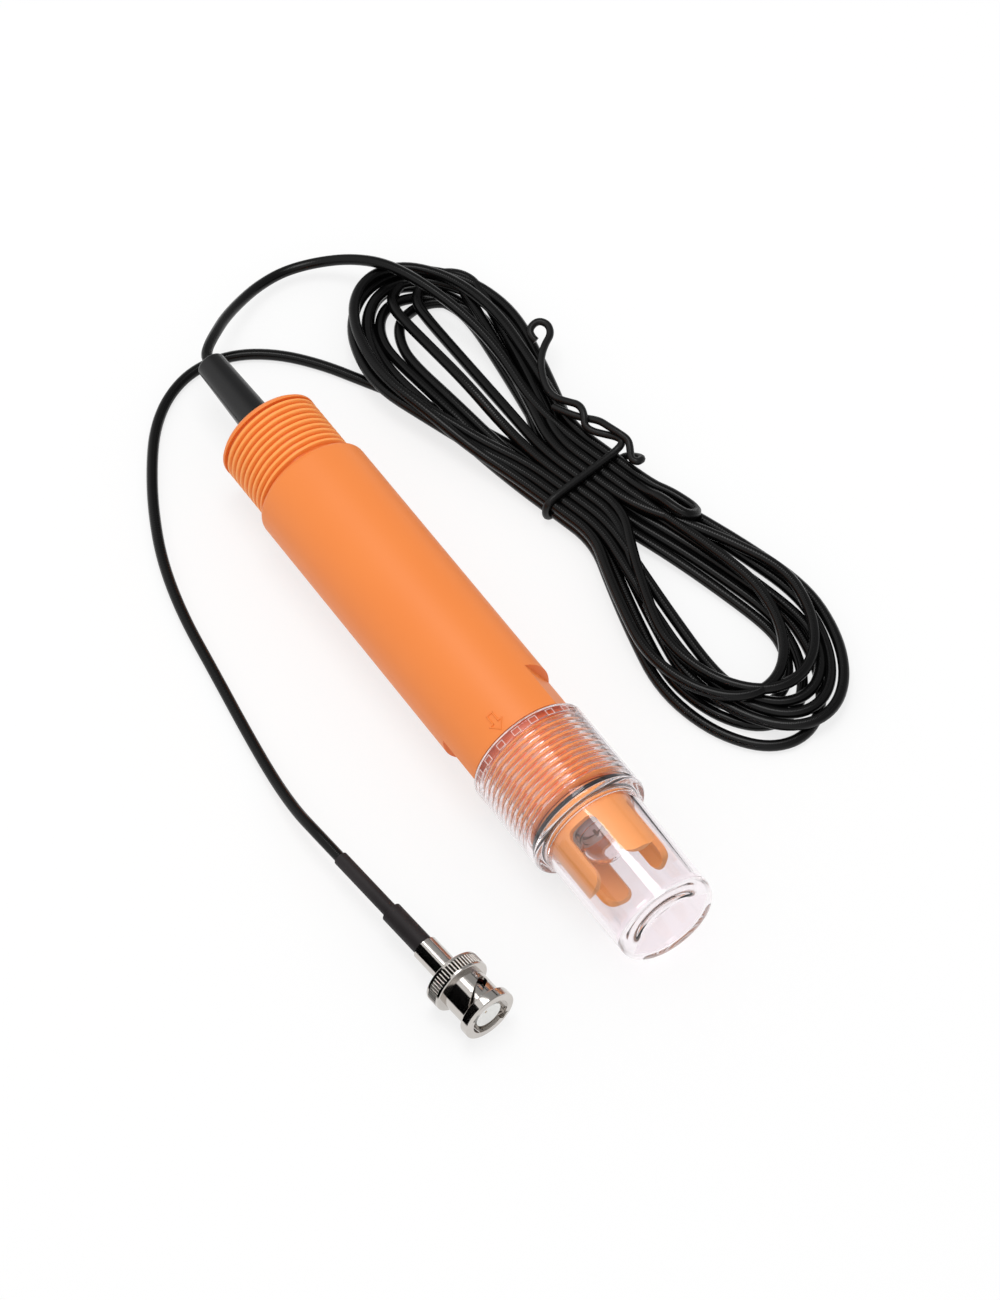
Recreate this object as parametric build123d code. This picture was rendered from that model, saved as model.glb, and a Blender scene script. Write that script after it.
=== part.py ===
from build123d import *
import math
import os

# An in-line pH electrode that lies on its side, in millimetres. X runs along the electrode towards its
# sensing tip, Z is up, and the origin is on the floor under the middle of the electrode.

# Electrode body, a moulding turned about the X axis
thread_radius = 13.35
thread_chamfer = 0.9
thread_pitch = 25.4 / 14
thread_depth = 1.05
thread_ridge_drop = 0.05
thread_root_share = 0.9
thread_crest_share = 0.46
thread_sink = 0.3
thread_first_land = 1.6
thread_last_land = 0.5
thread_run_in = 0.4
cable_thread_length = 19.5
barrel_radius = 15.0
barrel_length = 92.0
shoulder_round = 1.6
flat_distance = 13.0
flat_length = 13.0
flat_angle = 62.0
band_radius = 11.8
band_length = 4.5

# Guard round the bulb: tabs with windows between them
guard_radius = 10.8
guard_wall = 1.7
guard_base_length = 2.2
guard_tab_length = 13.8
tab_count = 4
tab_corner = 2.8
first_window_angle = -29.5
window_width = 7.6
window_corner = 1.8

# Cavities of the body
potting_radius = 9.5
potting_length = 17.0
potting_recess = 1.0
chamber_radius = 11.0
front_chamber_radius = 9.8
front_chamber_length = 18.0
partition_length = 11.5
junction_radius = 8.3
junction_length = 3.0

# Glass stem with its bulb, and what is in it
stem_radius = 4.5
stem_wall = 0.7
stem_length = 98.0
bulb_radius = 5.4
bulb_reach = 10.0
stem_passage_gap = 0.3
stem_seal_section = 1.8
stem_seal_offset = 2.0
seal_squeeze_gap = 0.1
stopper_length = 10.0
stopper_rim = 1.5
wire_radius = 0.4
measuring_wire_end_gap = 7.0
reference_wire_end_gap = 12.0
reference_wire_offset = 7.4

# Protective cap, one clear moulding, and its seal ring
collar_radius = 15.43
collar_length = 25.5
collar_lip_round = 0.9
cup_radius = 12.9
cup_end_radius = 12.55
cup_length = 32.4
cup_wall = 1.35
cup_floor = 2.6
cup_outer_round = 3.0
cup_inner_round = 1.4
cap_thread_gap = 0.25
cap_end_gap = 0.3
cap_seat_wall = 1.7
cap_neck_gap = 0.3
cap_neck_length = 2.4
seal_space = 2.6
seal_ring_section = 1.4
seal_ring_gap = 0.2

# Strain relief boot
relief_length = 26.0
relief_tip_radius = 3.65
relief_base_radius = 4.5
relief_root_length = 6.0
relief_tip_round = 0.8

# Cord and hank
cord_radius = 1.4
fit_gap = 0.05
arc_share = 0.45
hank_height = 8.4
hank_round = 2.6
tie_thickness = 1.5
tie_centre = (-22.4, 59.4)
tie_width = 26.6
tie_round = 3.9
tie_angle = 13.0
twist_radius = 1.3
tie_wire_radius = 0.75

# Bayonet plug, turned about its own axis, with stations counted back from its front face
plug_front = (90.0, -44.9)
plug_angle = 5.0
nut_length = 14.2
nut_knurl_radius = 7.35
nut_knurl_length = 4.2
nut_neck_radius = 5.65
nut_ring_radius = 6.9
nut_ring_length = 2.6
nut_edge_round = 0.4
nut_bore_radius = 4.95
nut_rear_wall = 1.0
slot_radius = 1.1
slot_start = 1.6
slot_length = 5.0
slot_turn = 85.0
slot_first_turn = 50.0
slot_key_depth = 0.85
flange_radius = 5.9
flange_length = 1.0
flange_gap = 0.3
nut_hub_radius = 4.4
hub_gap = 0.15
spigot_radius = 4.05
spigot_wall = 0.5
spigot_recess = 1.6
spigot_slot_turns = (45, 135)
spigot_slot_width = 0.5
spigot_slot_length = 5.0
thrust_thickness = 0.3
washer_thickness = 0.2
washer_height = 0.7
washer_bore_gap = 0.2
insulator_recess = 2.4
pin_radius = 0.68
pin_recess = 1.2
pin_tail = 1.6
gasket_length = 1.0
stem_tube_radius = 2.2
stem_tube_length = 6.2
ferrule_radius = 3.2
ferrule_length = 9.0
ferrule_gap = 0.45
boot_radius = 2.58
boot_length = 13.4
boot_insert = 1.2
sleeve_radius = 1.78
sleeve_length = 24.8
sleeve_insert = 6.0
sleeve_entry_run = 8.0

# Lengths and stations along X that follow from the sizes above: the thread ends at the seal ring's space
process_thread_length = cap_end_gap + collar_length - cap_seat_wall - seal_space
collar_start = cable_thread_length + barrel_length + cap_end_gap
cap_length = collar_length + cup_length
overall_length = relief_length + collar_start + cap_length
thread_end = relief_length - overall_length / 2
barrel_start = thread_end + cable_thread_length
barrel_end = barrel_start + barrel_length
process_thread_end = barrel_end + process_thread_length
band_end = process_thread_end + band_length
window_start = band_end + guard_base_length
guard_end = window_start + guard_tab_length
thread_core_radius = thread_radius - thread_depth
axis_height = collar_radius

# Route of the cord, points chosen by hand: from the boot to the hank, and from the hank to the sleeve
lead_route = [
    (-100.4, 0.5, 15.5),
    (-103.0, 2.9, 15.0),
    (-106.4, 7.0, 13.4),
    (-110.8, 12.4, 10.8),
    (-115.2, 19.4, 7.6),
    (-118.6, 27.2, 4.5),
    (-119.6, 35.4, 2.4),
    (-116.8, 43.4, 1.5),
    (-110.8, 50.4, 1.5),
    (-103.6, 54.8, 2.4),
]
tail_route = [
    (-72.0, 39.0, 1.4),
    (-81.0, 33.8, 1.4),
    (-91.0, 28.2, 1.4),
    (-100.2, 20.8, 1.4),
    (-106.4, 11.6, 1.4),
    (-108.0, 1.2, 1.4),
    (-104.8, -8.4, 1.4),
    (-98.0, -16.8, 1.4),
    (-88.4, -23.8, 1.4),
    (-76.8, -30.6, 1.4),
    (-62.8, -36.9, 1.4),
    (-46.4, -41.3, 1.4),
    (-28.4, -43.9, 1.4),
    (-9.6, -46.8, 1.4),
    (5.6, -49.0, 2.4),
    (17.6, -50.4, 5.2),
]

# Outline of the hank seen from above, and the openings of its two lobes
hank_outline = [
    (-105.6, 56.0),
    (-101.6, 45.0),
    (-88.0, 34.8),
    (-64.0, 32.2),
    (-38.0, 40.6),
    (-14.0, 47.6),
    (10.0, 43.8),
    (38.0, 40.4),
    (59.6, 47.0),
    (66.4, 60.0),
    (62.0, 77.6),
    (42.0, 86.8),
    (14.0, 83.4),
    (-14.0, 74.4),
    (-36.0, 71.6),
    (-60.0, 75.8),
    (-86.0, 75.8),
    (-100.6, 67.2),
]
right_opening = [
    (-1.0, 61.4),
    (20.0, 67.8),
    (36.0, 70.6),
    (47.0, 64.0),
    (46.0, 54.0),
    (32.0, 52.0),
    (14.0, 56.4),
]
left_opening = [
    (-44.0, 57.6),
    (-62.0, 62.4),
    (-78.0, 63.6),
    (-88.0, 57.6),
    (-80.0, 50.6),
    (-62.0, 51.8),
]
twist_route = [
    (-24.6, 70.6, 7.6),
    (-27.8, 72.6, 9.9),
    (-36.0, 69.6, 10.0),
    (-46.0, 67.2, 9.9),
]
wire_route = [
    (-44.0, 67.5, 9.9),
    (-50.6, 68.2, 9.6),
    (-57.0, 71.4, 9.4),
    (-62.4, 75.2, 9.3),
    (-65.2, 78.2, 9.3),
    (-68.2, 76.6, 9.3),
]


def turned(outline, rounds=()):
    """A solid of revolution about X from (station, radius) points, with some corners rounded."""
    face = make_face(Polyline(*outline, close=True))
    for corner, radius in rounds:
        nearest = face.vertices().sort_by_distance(Vector(*outline[corner]))[0]
        face = fillet(nearest, radius)
    return revolve(face, Axis.X)


def rod(start, length, radius):
    """A cylinder along X from a station."""
    upright = Cylinder(radius, length, align=(Align.CENTER, Align.CENTER, Align.MIN))
    return Pos(start, 0, 0) * Rot(0, 90, 0) * upright


def tube(start, length, radius, bore):
    """A ring or pipe along X from a station."""
    return rod(start, length, radius) - rod(start, length, bore)


def ring(station, centre_radius, section):
    """A round-section seal ring about X."""
    return Pos(station, 0, 0) * Rot(0, 90, 0) * Torus(centre_radius, section / 2)


def on_axis(shape):
    """Lifts a shape from the X axis to the electrode's own axis."""
    return Pos(0, 0, axis_height) * shape


def on_plug(shape):
    """Sets a shape built about X at its place in the bayonet plug."""
    return Pos(plug_front[0], plug_front[1], nut_knurl_radius) * Rot(0, 0, plug_angle) * shape


def bend_radii(points):
    """The largest arc that the two runs at each inner point of a route leave room for."""
    route = [Vector(*point) for point in points]
    radii = []
    for before, here, after in zip(route, route[1:], route[2:]):
        half_turn = math.radians((here - before).get_angle(after - here)) / 2
        shorter_run = min((here - before).length, (after - here).length)
        radii.append(arc_share * shorter_run / math.tan(half_turn))
    return radii


def wire_along(points, radius, name):
    """A round tube along straight runs joined by tangent arcs."""
    radii = bend_radii(points)
    path = FilletPolyline(*points, radius=radii)
    solid = sweep(Plane(origin=path @ 0, z_dir=path % 0) * Circle(radius), path=path)
    expected = math.pi * radius**2 * path.length
    print(name, "length", round(path.length, 1), "volume ratio", round(solid.volume / expected, 4))
    print("  radii", [round(value, 1) for value in radii])
    return solid


def make_thread(start, limit):
    """The ridge of a right-handed screw thread about X, sunk a little into its core and cut to a limit."""
    height = thread_depth - thread_ridge_drop + thread_sink
    root_half = thread_root_share * thread_pitch / 2
    crest_half = thread_crest_share * thread_pitch / 2
    run = limit.bounding_box().max.X - start + thread_pitch
    helix = Helix(thread_pitch, run, thread_core_radius - thread_sink)
    flank = [(0, -root_half), (height, -crest_half), (height, crest_half), (0, root_half)]
    section = make_face(Polyline(*flank, close=True))
    ridge = sweep(Plane(helix @ 0, (1, 0, 0), helix % 0) * section, path=helix, is_frenet=True)
    return (Pos(start, 0, 0) * Rot(0, 90, 0) * ridge) & limit


def make_body_shell():
    """The orange moulding: threads, barrel, flats, cavities and the guard's tabs."""
    potting_end = thread_end + potting_recess + potting_length
    seat = band_end - junction_length
    passage = stem_radius + stem_passage_gap
    partition_start = band_end - partition_length
    groove_start = partition_start + stem_seal_offset
    groove_end = groove_start + stem_seal_section + 2 * seal_squeeze_gap
    groove_radius = stem_radius + stem_seal_section + 2 * seal_squeeze_gap
    guard_bore = guard_radius - guard_wall
    first_land_end = thread_end + thread_first_land
    last_land_start = barrel_start - thread_last_land
    outline = [
        (thread_end, potting_radius),
        (thread_end, thread_radius - thread_chamfer),
        (thread_end + thread_chamfer, thread_radius),
        (first_land_end, thread_radius),
        (first_land_end, thread_core_radius),
        (last_land_start, thread_core_radius),
        (last_land_start, thread_radius),
        (barrel_start, thread_radius),
        (barrel_start, barrel_radius),
        (barrel_end, barrel_radius),
        (barrel_end, thread_core_radius),
        (process_thread_end, thread_core_radius),
        (process_thread_end, band_radius),
        (band_end, band_radius),
        (band_end, guard_radius),
        (guard_end, guard_radius),
        (guard_end, guard_bore),
        (band_end, guard_bore),
        (band_end, junction_radius),
        (seat, junction_radius),
        (seat, passage),
        (groove_end, passage),
        (groove_end, groove_radius),
        (groove_start, groove_radius),
        (groove_start, passage),
        (partition_start, passage),
        (partition_start, front_chamber_radius),
        (partition_start - front_chamber_length, front_chamber_radius),
        (partition_start - front_chamber_length, chamber_radius),
        (potting_end, chamber_radius),
        (potting_end, potting_radius),
    ]
    body = turned(outline, rounds=[(outline.index((barrel_start, barrel_radius)), shoulder_round)])

    cable_start = first_land_end + thread_run_in
    body += make_thread(thread_end, rod(cable_start, last_land_start - thread_run_in - cable_start, barrel_radius))
    process_start = barrel_end + thread_run_in
    lead_in = [
        (process_start, 0),
        (process_start, barrel_radius),
        (process_thread_end - barrel_radius + thread_core_radius, barrel_radius),
        (process_thread_end, thread_core_radius),
        (process_thread_end, 0),
    ]
    body += make_thread(barrel_end, turned(lead_in))

    flat_depth = barrel_radius - flat_distance
    flat_box = Box(flat_length, 2 * barrel_radius, flat_depth, align=(Align.MAX, Align.CENTER, Align.MIN))
    for side in (0, 180):
        body -= Rot(-flat_angle - side, 0, 0) * Pos(barrel_end, 0, flat_distance) * flat_box

    window_run = guard_tab_length + window_corner
    window = Pos(window_start, 0) * Rectangle(window_run, window_width, align=(Align.MIN, Align.CENTER))
    window = fillet(window.vertices().group_by(Axis.X)[0], window_corner)
    mouth_width = window_width + 2 * tab_corner
    mouth_start = guard_end - tab_corner
    mouth = Pos(mouth_start, 0) * Rectangle(2 * tab_corner, mouth_width, align=(Align.MIN, Align.CENTER))
    for side in (-1, 1):
        mouth -= Pos(mouth_start, side * mouth_width / 2) * Circle(tab_corner)
    cutter = Pos(0, 0, guard_bore / 2) * extrude(window + mouth, guard_radius)
    for index in range(tab_count):
        body -= Rot(-first_window_angle - index * 360 / tab_count, 0, 0) * cutter
    return on_axis(body)


def make_glass_stem():
    """A glass tube closed by the thin sensing bulb at its tip."""
    bulb_end = band_end + bulb_reach
    stem_start = band_end - stem_length
    bulb_centre = bulb_end - bulb_radius
    bulb = Pos(bulb_centre, 0, 0)
    outer = rod(stem_start, bulb_centre - stem_start, stem_radius) + bulb * Sphere(bulb_radius)
    inner = rod(stem_start, bulb_centre - stem_start, stem_radius - stem_wall)
    inner += bulb * Sphere(bulb_radius - stem_wall)
    return on_axis(outer - inner)


def make_stem_fittings():
    """The junction ring, the stem's seal and stopper, the two silver wires and the potting."""
    stem_start = band_end - stem_length
    bore = stem_radius - stem_wall
    seal_station = band_end - partition_length + stem_seal_offset + seal_squeeze_gap + stem_seal_section / 2
    potting_start = thread_end + potting_recess
    potting_end = potting_start + potting_length
    junction_start = band_end - junction_length
    junction = tube(junction_start, junction_length, junction_radius - fit_gap, stem_radius + fit_gap)
    seal = ring(seal_station, stem_radius + fit_gap + stem_seal_section / 2, stem_seal_section)
    wire_hole = wire_radius + fit_gap
    stopper = tube(stem_start - stopper_rim, stopper_rim, stem_radius, wire_hole)
    stopper += tube(stem_start, stopper_length, bore - fit_gap, wire_hole)
    measuring_end = band_end + bulb_reach - measuring_wire_end_gap
    measuring = rod(potting_end, measuring_end - potting_end, wire_radius)
    reference_end = band_end - partition_length - reference_wire_end_gap
    reference = rod(potting_end, reference_end - potting_end, wire_radius)
    reference = Pos(0, reference_wire_offset, 0) * reference
    potting = rod(potting_start, potting_length, potting_radius - fit_gap)
    potting -= rod(potting_start, relief_root_length, relief_base_radius + fit_gap)
    return {
        "junction_ring": on_axis(junction),
        "stem_seal": on_axis(seal),
        "stem_stopper": on_axis(stopper),
        "measuring_wire": on_axis(measuring),
        "reference_wire": on_axis(reference),
        "potting_plug": on_axis(potting),
    }


def make_protective_cap():
    """The clear moulding: a collar over the process thread, and the cup over the guard."""
    collar_top = thread_end + collar_start
    collar_end = collar_top + collar_length
    cap_end = collar_end + cup_length
    bore = thread_radius + cap_thread_gap
    seat = collar_end - cap_seat_wall
    neck_end = seat + cap_neck_length
    floor = cap_end - cup_floor
    outline = [
        (collar_top, bore),
        (collar_top, collar_radius),
        (collar_end, collar_radius),
        (collar_end, cup_radius),
        (cap_end, cup_end_radius),
        (cap_end, 0),
        (floor, 0),
        (floor, cup_end_radius - cup_wall),
        (neck_end, cup_radius - cup_wall),
        (neck_end, band_radius + cap_neck_gap),
        (seat, band_radius + cap_neck_gap),
        (seat, bore),
    ]
    rounds = [(2, collar_lip_round), (4, cup_outer_round), (7, cup_inner_round)]
    return on_axis(turned(outline, rounds))


def make_cap_seal_ring():
    """The O-ring that sits on the cap's inner shoulder round the body's end band."""
    seat = thread_end + collar_start + collar_length - cap_seat_wall
    station = seat - seal_ring_gap - seal_ring_section / 2
    return on_axis(ring(station, band_radius + seal_ring_gap + seal_ring_section / 2, seal_ring_section))


def make_strain_relief():
    """The tapered boot, with a root that is held in the potting and a bore for the cord."""
    tip = thread_end - relief_length
    root_end = thread_end + potting_recess + relief_root_length
    bore = cord_radius + fit_gap
    outline = [
        (tip, bore),
        (tip, relief_tip_radius),
        (thread_end, relief_base_radius),
        (root_end, relief_base_radius),
        (root_end, bore),
    ]
    return on_axis(turned(outline, [(1, relief_tip_round)]))


def make_cords():
    """The two free stretches of the cord, each with its straight end inside what holds it."""
    tip = thread_end - relief_length
    root_end = thread_end + potting_recess + relief_root_length
    lead = wire_along([(tip, 0, axis_height)] + lead_route, cord_radius, "cable_lead")
    lead += on_axis(rod(tip, root_end - tip, cord_radius))

    cord_end = -(nut_length + ferrule_gap + stem_tube_length)
    sleeve_rear = cord_end - boot_length + boot_insert - sleeve_length + sleeve_insert
    turn = math.radians(plug_angle)
    last_points = []
    for station in (sleeve_rear - sleeve_entry_run, sleeve_rear):
        x = plug_front[0] + station * math.cos(turn)
        y = plug_front[1] + station * math.sin(turn)
        last_points.append((x, y, nut_knurl_radius))
    tail = wire_along(tail_route + last_points, cord_radius, "cable_tail")
    tail += on_plug(rod(sleeve_rear, cord_end - sleeve_rear, cord_radius))
    return {"cable_lead": lead, "cable_tail": tail}


def make_hank():
    """The outer form of the tied hank, with its two openings and a groove for the tie."""
    solid = extrude(make_face(Spline(*hank_outline, periodic=True)), hank_height)
    rims = solid.edges().group_by(Axis.Z)
    solid = fillet(rims[0] + rims[-1], hank_round)
    for opening in (left_opening, right_opening):
        solid -= extrude(make_face(Spline(*opening, opening[0])), hank_height)
    groove = Rectangle(2 * tie_width, 2 * hank_height) - tie_section(tie_thickness)
    return solid - at_tie(extrude(groove, tie_thickness / 2 + fit_gap, both=True))


def tie_section(inset):
    """The rounded section of the bundle where it is tied, smaller all round by an inset."""
    return RectangleRounded(tie_width - 2 * inset, hank_height - 2 * inset, tie_round - inset)


def at_tie(shape):
    """Sets a shape drawn on its own XY plane across the bundle at the tie."""
    across = (-math.sin(math.radians(tie_angle)), math.cos(math.radians(tie_angle)), 0)
    along = (math.cos(math.radians(tie_angle)), math.sin(math.radians(tie_angle)), 0)
    return Plane((*tie_centre, hank_height / 2), x_dir=across, z_dir=along) * shape


def make_cable_tie():
    """The twist tie: a band round the bundle, its twisted pair and the curled end."""
    band = extrude(tie_section(0) - tie_section(tie_thickness - fit_gap), tie_thickness / 2, both=True)
    tie = at_tie(band)
    tie += wire_along(twist_route, twist_radius, "cable_tie twist")
    return tie + wire_along(wire_route, tie_wire_radius, "cable_tie end")


def make_coupling_nut():
    """The bayonet nut: knurled rear, neck with two cam slots, and front ring."""
    knurl_front = -nut_length + nut_knurl_length
    pocket_rear = -nut_length + nut_rear_wall
    pocket_front = flange_station() + flange_length + fit_gap
    pocket_radius = flange_radius + flange_gap
    outline = [
        (-nut_length, nut_hub_radius + hub_gap),
        (-nut_length, nut_knurl_radius),
        (knurl_front, nut_knurl_radius),
        (knurl_front, nut_neck_radius),
        (-nut_ring_length, nut_neck_radius),
        (-nut_ring_length, nut_ring_radius),
        (0, nut_ring_radius),
        (0, nut_bore_radius),
        (pocket_front, nut_bore_radius),
        (pocket_front, pocket_radius),
        (pocket_rear, pocket_radius),
        (pocket_rear, nut_hub_radius + hub_gap),
    ]
    rounds = [(corner, nut_edge_round) for corner in (1, 2, 5, 6)]
    nut = turned(outline, rounds)
    wall_middle = (nut_bore_radius + nut_neck_radius) / 2
    cam = Helix(slot_length * 360 / slot_turn, slot_length, wall_middle)
    slot = sweep(Plane(origin=cam @ 0, z_dir=cam % 0) * Circle(slot_radius), path=cam)
    key_reach = nut_bore_radius + slot_key_depth
    slot += Pos(0, 0, -slot_start) * Box(
        key_reach, 2 * slot_radius, slot_start + slot_radius, align=(Align.MIN, Align.CENTER, Align.MIN)
    )
    hole = rod(nut_bore_radius / 2, nut_neck_radius, slot_radius)
    slot += Pos(0, 0, slot_length) * Rot(0, 0, slot_turn) * hole
    for half_turn in (0, 180):
        nut -= Pos(-slot_start, 0, 0) * Rot(slot_first_turn + half_turn, 0, 0) * Rot(0, -90, 0) * slot
    return on_plug(nut)


def flange_station():
    """Station of the rear face of the flange that the nut bears on."""
    return -nut_length + nut_rear_wall + fit_gap + thrust_thickness + washer_height + fit_gap


def make_plug():
    """The plug's fixed pieces, from the sleeve on the cord to the centre contact."""
    flange_rear = flange_station()
    flange_front = flange_rear + flange_length
    hub_rear = -nut_length - ferrule_gap
    stem_rear = hub_rear - stem_tube_length
    spigot_bore = spigot_radius - spigot_wall
    outline = [
        (stem_rear, pin_radius + fit_gap),
        (stem_rear, stem_tube_radius),
        (hub_rear, stem_tube_radius),
        (hub_rear, nut_hub_radius),
        (flange_rear, nut_hub_radius),
        (flange_rear, flange_radius),
        (flange_front, flange_radius),
        (flange_front, spigot_radius),
        (-spigot_recess, spigot_radius),
        (-spigot_recess, spigot_bore),
        (flange_front, spigot_bore),
        (flange_front, pin_radius + fit_gap),
    ]
    body = turned(outline)
    slot_sides = (Align.MAX, Align.CENTER, Align.CENTER)
    slot_box = Box(spigot_slot_length, 3 * spigot_radius, spigot_slot_width, align=slot_sides)
    for turn in spigot_slot_turns:
        body -= Pos(-spigot_recess, 0, 0) * Rot(turn, 0, 0) * slot_box

    insulator_length = -insulator_recess - flange_front
    insulator = tube(flange_front, insulator_length, spigot_bore - fit_gap, pin_radius + fit_gap)
    pin = rod(stem_rear + pin_tail, -pin_recess - stem_rear - pin_tail, pin_radius)
    pin = fillet(pin.edges().sort_by(Axis.X)[-1], pin_radius / 2)
    gasket_radius = nut_bore_radius - hub_gap - fit_gap
    gasket = tube(flange_front, gasket_length, gasket_radius, spigot_radius + fit_gap)

    washer_bore = nut_hub_radius + washer_bore_gap
    thrust_start = -nut_length + nut_rear_wall + fit_gap
    thrust = tube(thrust_start, thrust_thickness, flange_radius, washer_bore)
    rise = washer_height - washer_thickness
    bow_radius = (flange_radius**2 + rise**2) / (2 * rise)
    bow_centre = flange_rear - fit_gap - bow_radius
    bow_width = 4 * flange_radius
    bow = Cylinder(bow_radius, bow_width) - Cylinder(bow_radius - washer_thickness, bow_width)
    spring = tube(flange_rear - washer_height - fit_gap, washer_height, flange_radius, washer_bore)
    spring &= Pos(bow_centre, 0, 0) * bow

    ferrule_rear = hub_rear - ferrule_length
    ferrule = tube(ferrule_rear, ferrule_length, ferrule_radius, stem_tube_radius + fit_gap)
    ferrule -= rod(ferrule_rear, stem_rear - ferrule_rear, boot_radius + fit_gap)
    boot_front = ferrule_rear + boot_insert
    boot = tube(boot_front - boot_length, boot_length, boot_radius, sleeve_radius + fit_gap)
    sleeve_rear = boot_front - boot_length - sleeve_length + sleeve_insert
    sleeve = tube(sleeve_rear, sleeve_length, sleeve_radius, cord_radius + fit_gap)
    return {
        "connector_body": on_plug(body),
        "connector_insulator": on_plug(insulator),
        "connector_pin": on_plug(pin),
        "connector_gasket": on_plug(gasket),
        "thrust_washer": on_plug(thrust),
        "spring_washer": on_plug(spring),
        "crimp_ferrule": on_plug(ferrule),
        "connector_boot": on_plug(boot),
        "cable_sleeve": on_plug(sleeve),
    }


nodes = {
    "body_shell": make_body_shell(),
    "glass_stem": make_glass_stem(),
    "protective_cap": make_protective_cap(),
    "cap_seal_ring": make_cap_seal_ring(),
    "strain_relief": make_strain_relief(),
    "cable_hank": make_hank(),
    "cable_tie": make_cable_tie(),
    "coupling_nut": make_coupling_nut(),
}
nodes.update(make_stem_fittings())
nodes.update(make_cords())
nodes.update(make_plug())

os.makedirs("parts", exist_ok=True)
for name, solid in nodes.items():
    export_step(solid, f"parts/{name}.step")
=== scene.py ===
"""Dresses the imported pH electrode: screw threads, clear cap, tied lead, bayonet plug, stage and camera.

Sizes and places are in millimetres in the electrode's own frame, and become metres when a mesh is made.
"""

import logging
import math
from dataclasses import dataclass, field
from enum import Enum
from typing import Iterable, Sequence

import bmesh
import bpy
from mathutils import Matrix, Vector


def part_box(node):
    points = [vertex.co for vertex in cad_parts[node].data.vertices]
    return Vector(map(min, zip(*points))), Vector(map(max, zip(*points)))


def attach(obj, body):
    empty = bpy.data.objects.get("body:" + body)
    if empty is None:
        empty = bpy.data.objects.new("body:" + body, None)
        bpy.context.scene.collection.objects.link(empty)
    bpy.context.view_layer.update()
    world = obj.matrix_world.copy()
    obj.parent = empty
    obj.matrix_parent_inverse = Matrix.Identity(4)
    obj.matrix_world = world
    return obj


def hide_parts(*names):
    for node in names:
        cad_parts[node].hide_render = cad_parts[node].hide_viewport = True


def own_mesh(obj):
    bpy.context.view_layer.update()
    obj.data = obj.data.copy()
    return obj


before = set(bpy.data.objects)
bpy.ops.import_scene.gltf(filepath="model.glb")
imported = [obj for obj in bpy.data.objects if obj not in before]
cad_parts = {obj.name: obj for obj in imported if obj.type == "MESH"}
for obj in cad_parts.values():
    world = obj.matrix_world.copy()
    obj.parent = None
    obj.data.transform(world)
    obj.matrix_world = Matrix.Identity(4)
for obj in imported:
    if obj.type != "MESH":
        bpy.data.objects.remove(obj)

MM = 0.001
MERGE_DISTANCE = 0.002
WHITE = (1.0, 1.0, 1.0, 1.0)
LOG = logging.getLogger("ph_electrode")

Piece = bpy.types.Object
Pair = tuple[float, float]
Point = tuple[float, float, float]
Colour = tuple[float, float, float]


class Slot(Enum):
    """The record's material slots."""

    ORANGE_MOULDING = "orange_moulding"
    CLEAR_GLASS = "clear_glass"
    CLEAR_MOULDING = "clear_moulding"
    SEAL_RUBBER = "seal_rubber"
    BOOT_RUBBER = "boot_rubber"
    CORD_JACKET = "cord_jacket"
    TIE_JACKET = "tie_jacket"
    NICKEL_PLATE = "nickel_plate"
    POROUS_CERAMIC = "porous_ceramic"
    SILVER_WIRE = "silver_wire"
    POTTING_RESIN = "potting_resin"
    WHITE_INSULATOR = "white_insulator"
    GOLD_CONTACT = "gold_contact"
    SOFT_GASKET = "soft_gasket"
    SPRING_STEEL = "spring_steel"
    SHRINK_SLEEVE = "shrink_sleeve"


class Body(Enum):
    """The bodies that new pieces ride on."""

    ELECTRODE = "electrode"
    CAP = "cap"
    NUT = "coupling_nut"


def linear(colour: Colour) -> tuple[float, float, float, float]:
    """Turns a colour as a screen shows it into the light values that shaders use."""
    parts = [c / 12.92 if c <= 0.04045 else ((c + 0.055) / 1.055) ** 2.4 for c in colour]
    return (*parts, 1.0)


def vectors(points: Iterable[Point]) -> list[Vector]:
    """Turns points into vectors."""
    return [Vector(point) for point in points]


# Node trees


class Value:
    """A node's socket that takes part in arithmetic, which adds Math nodes to its tree."""

    def __init__(self, tree: "NodeTree", socket: bpy.types.NodeSocket) -> None:
        """Keeps the tree and the socket."""
        self.tree = tree
        self.socket = socket

    def __add__(self, other: "Value | float") -> "Value":
        """Adds two values."""
        return self.tree.maths("ADD", self, other)

    __radd__ = __add__

    def __sub__(self, other: "Value | float") -> "Value":
        """Takes another value away."""
        return self.tree.maths("SUBTRACT", self, other)

    def __rsub__(self, other: float) -> "Value":
        """Takes this value away from a number."""
        return self.tree.maths("SUBTRACT", other, self)

    def __mul__(self, other: "Value | float") -> "Value":
        """Multiplies two values."""
        return self.tree.maths("MULTIPLY", self, other)

    __rmul__ = __mul__

    def __truediv__(self, other: "Value | float") -> "Value":
        """Divides by another value."""
        return self.tree.maths("DIVIDE", self, other)

    def __rtruediv__(self, other: float) -> "Value":
        """Divides a number by this value."""
        return self.tree.maths("DIVIDE", other, self)


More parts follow.
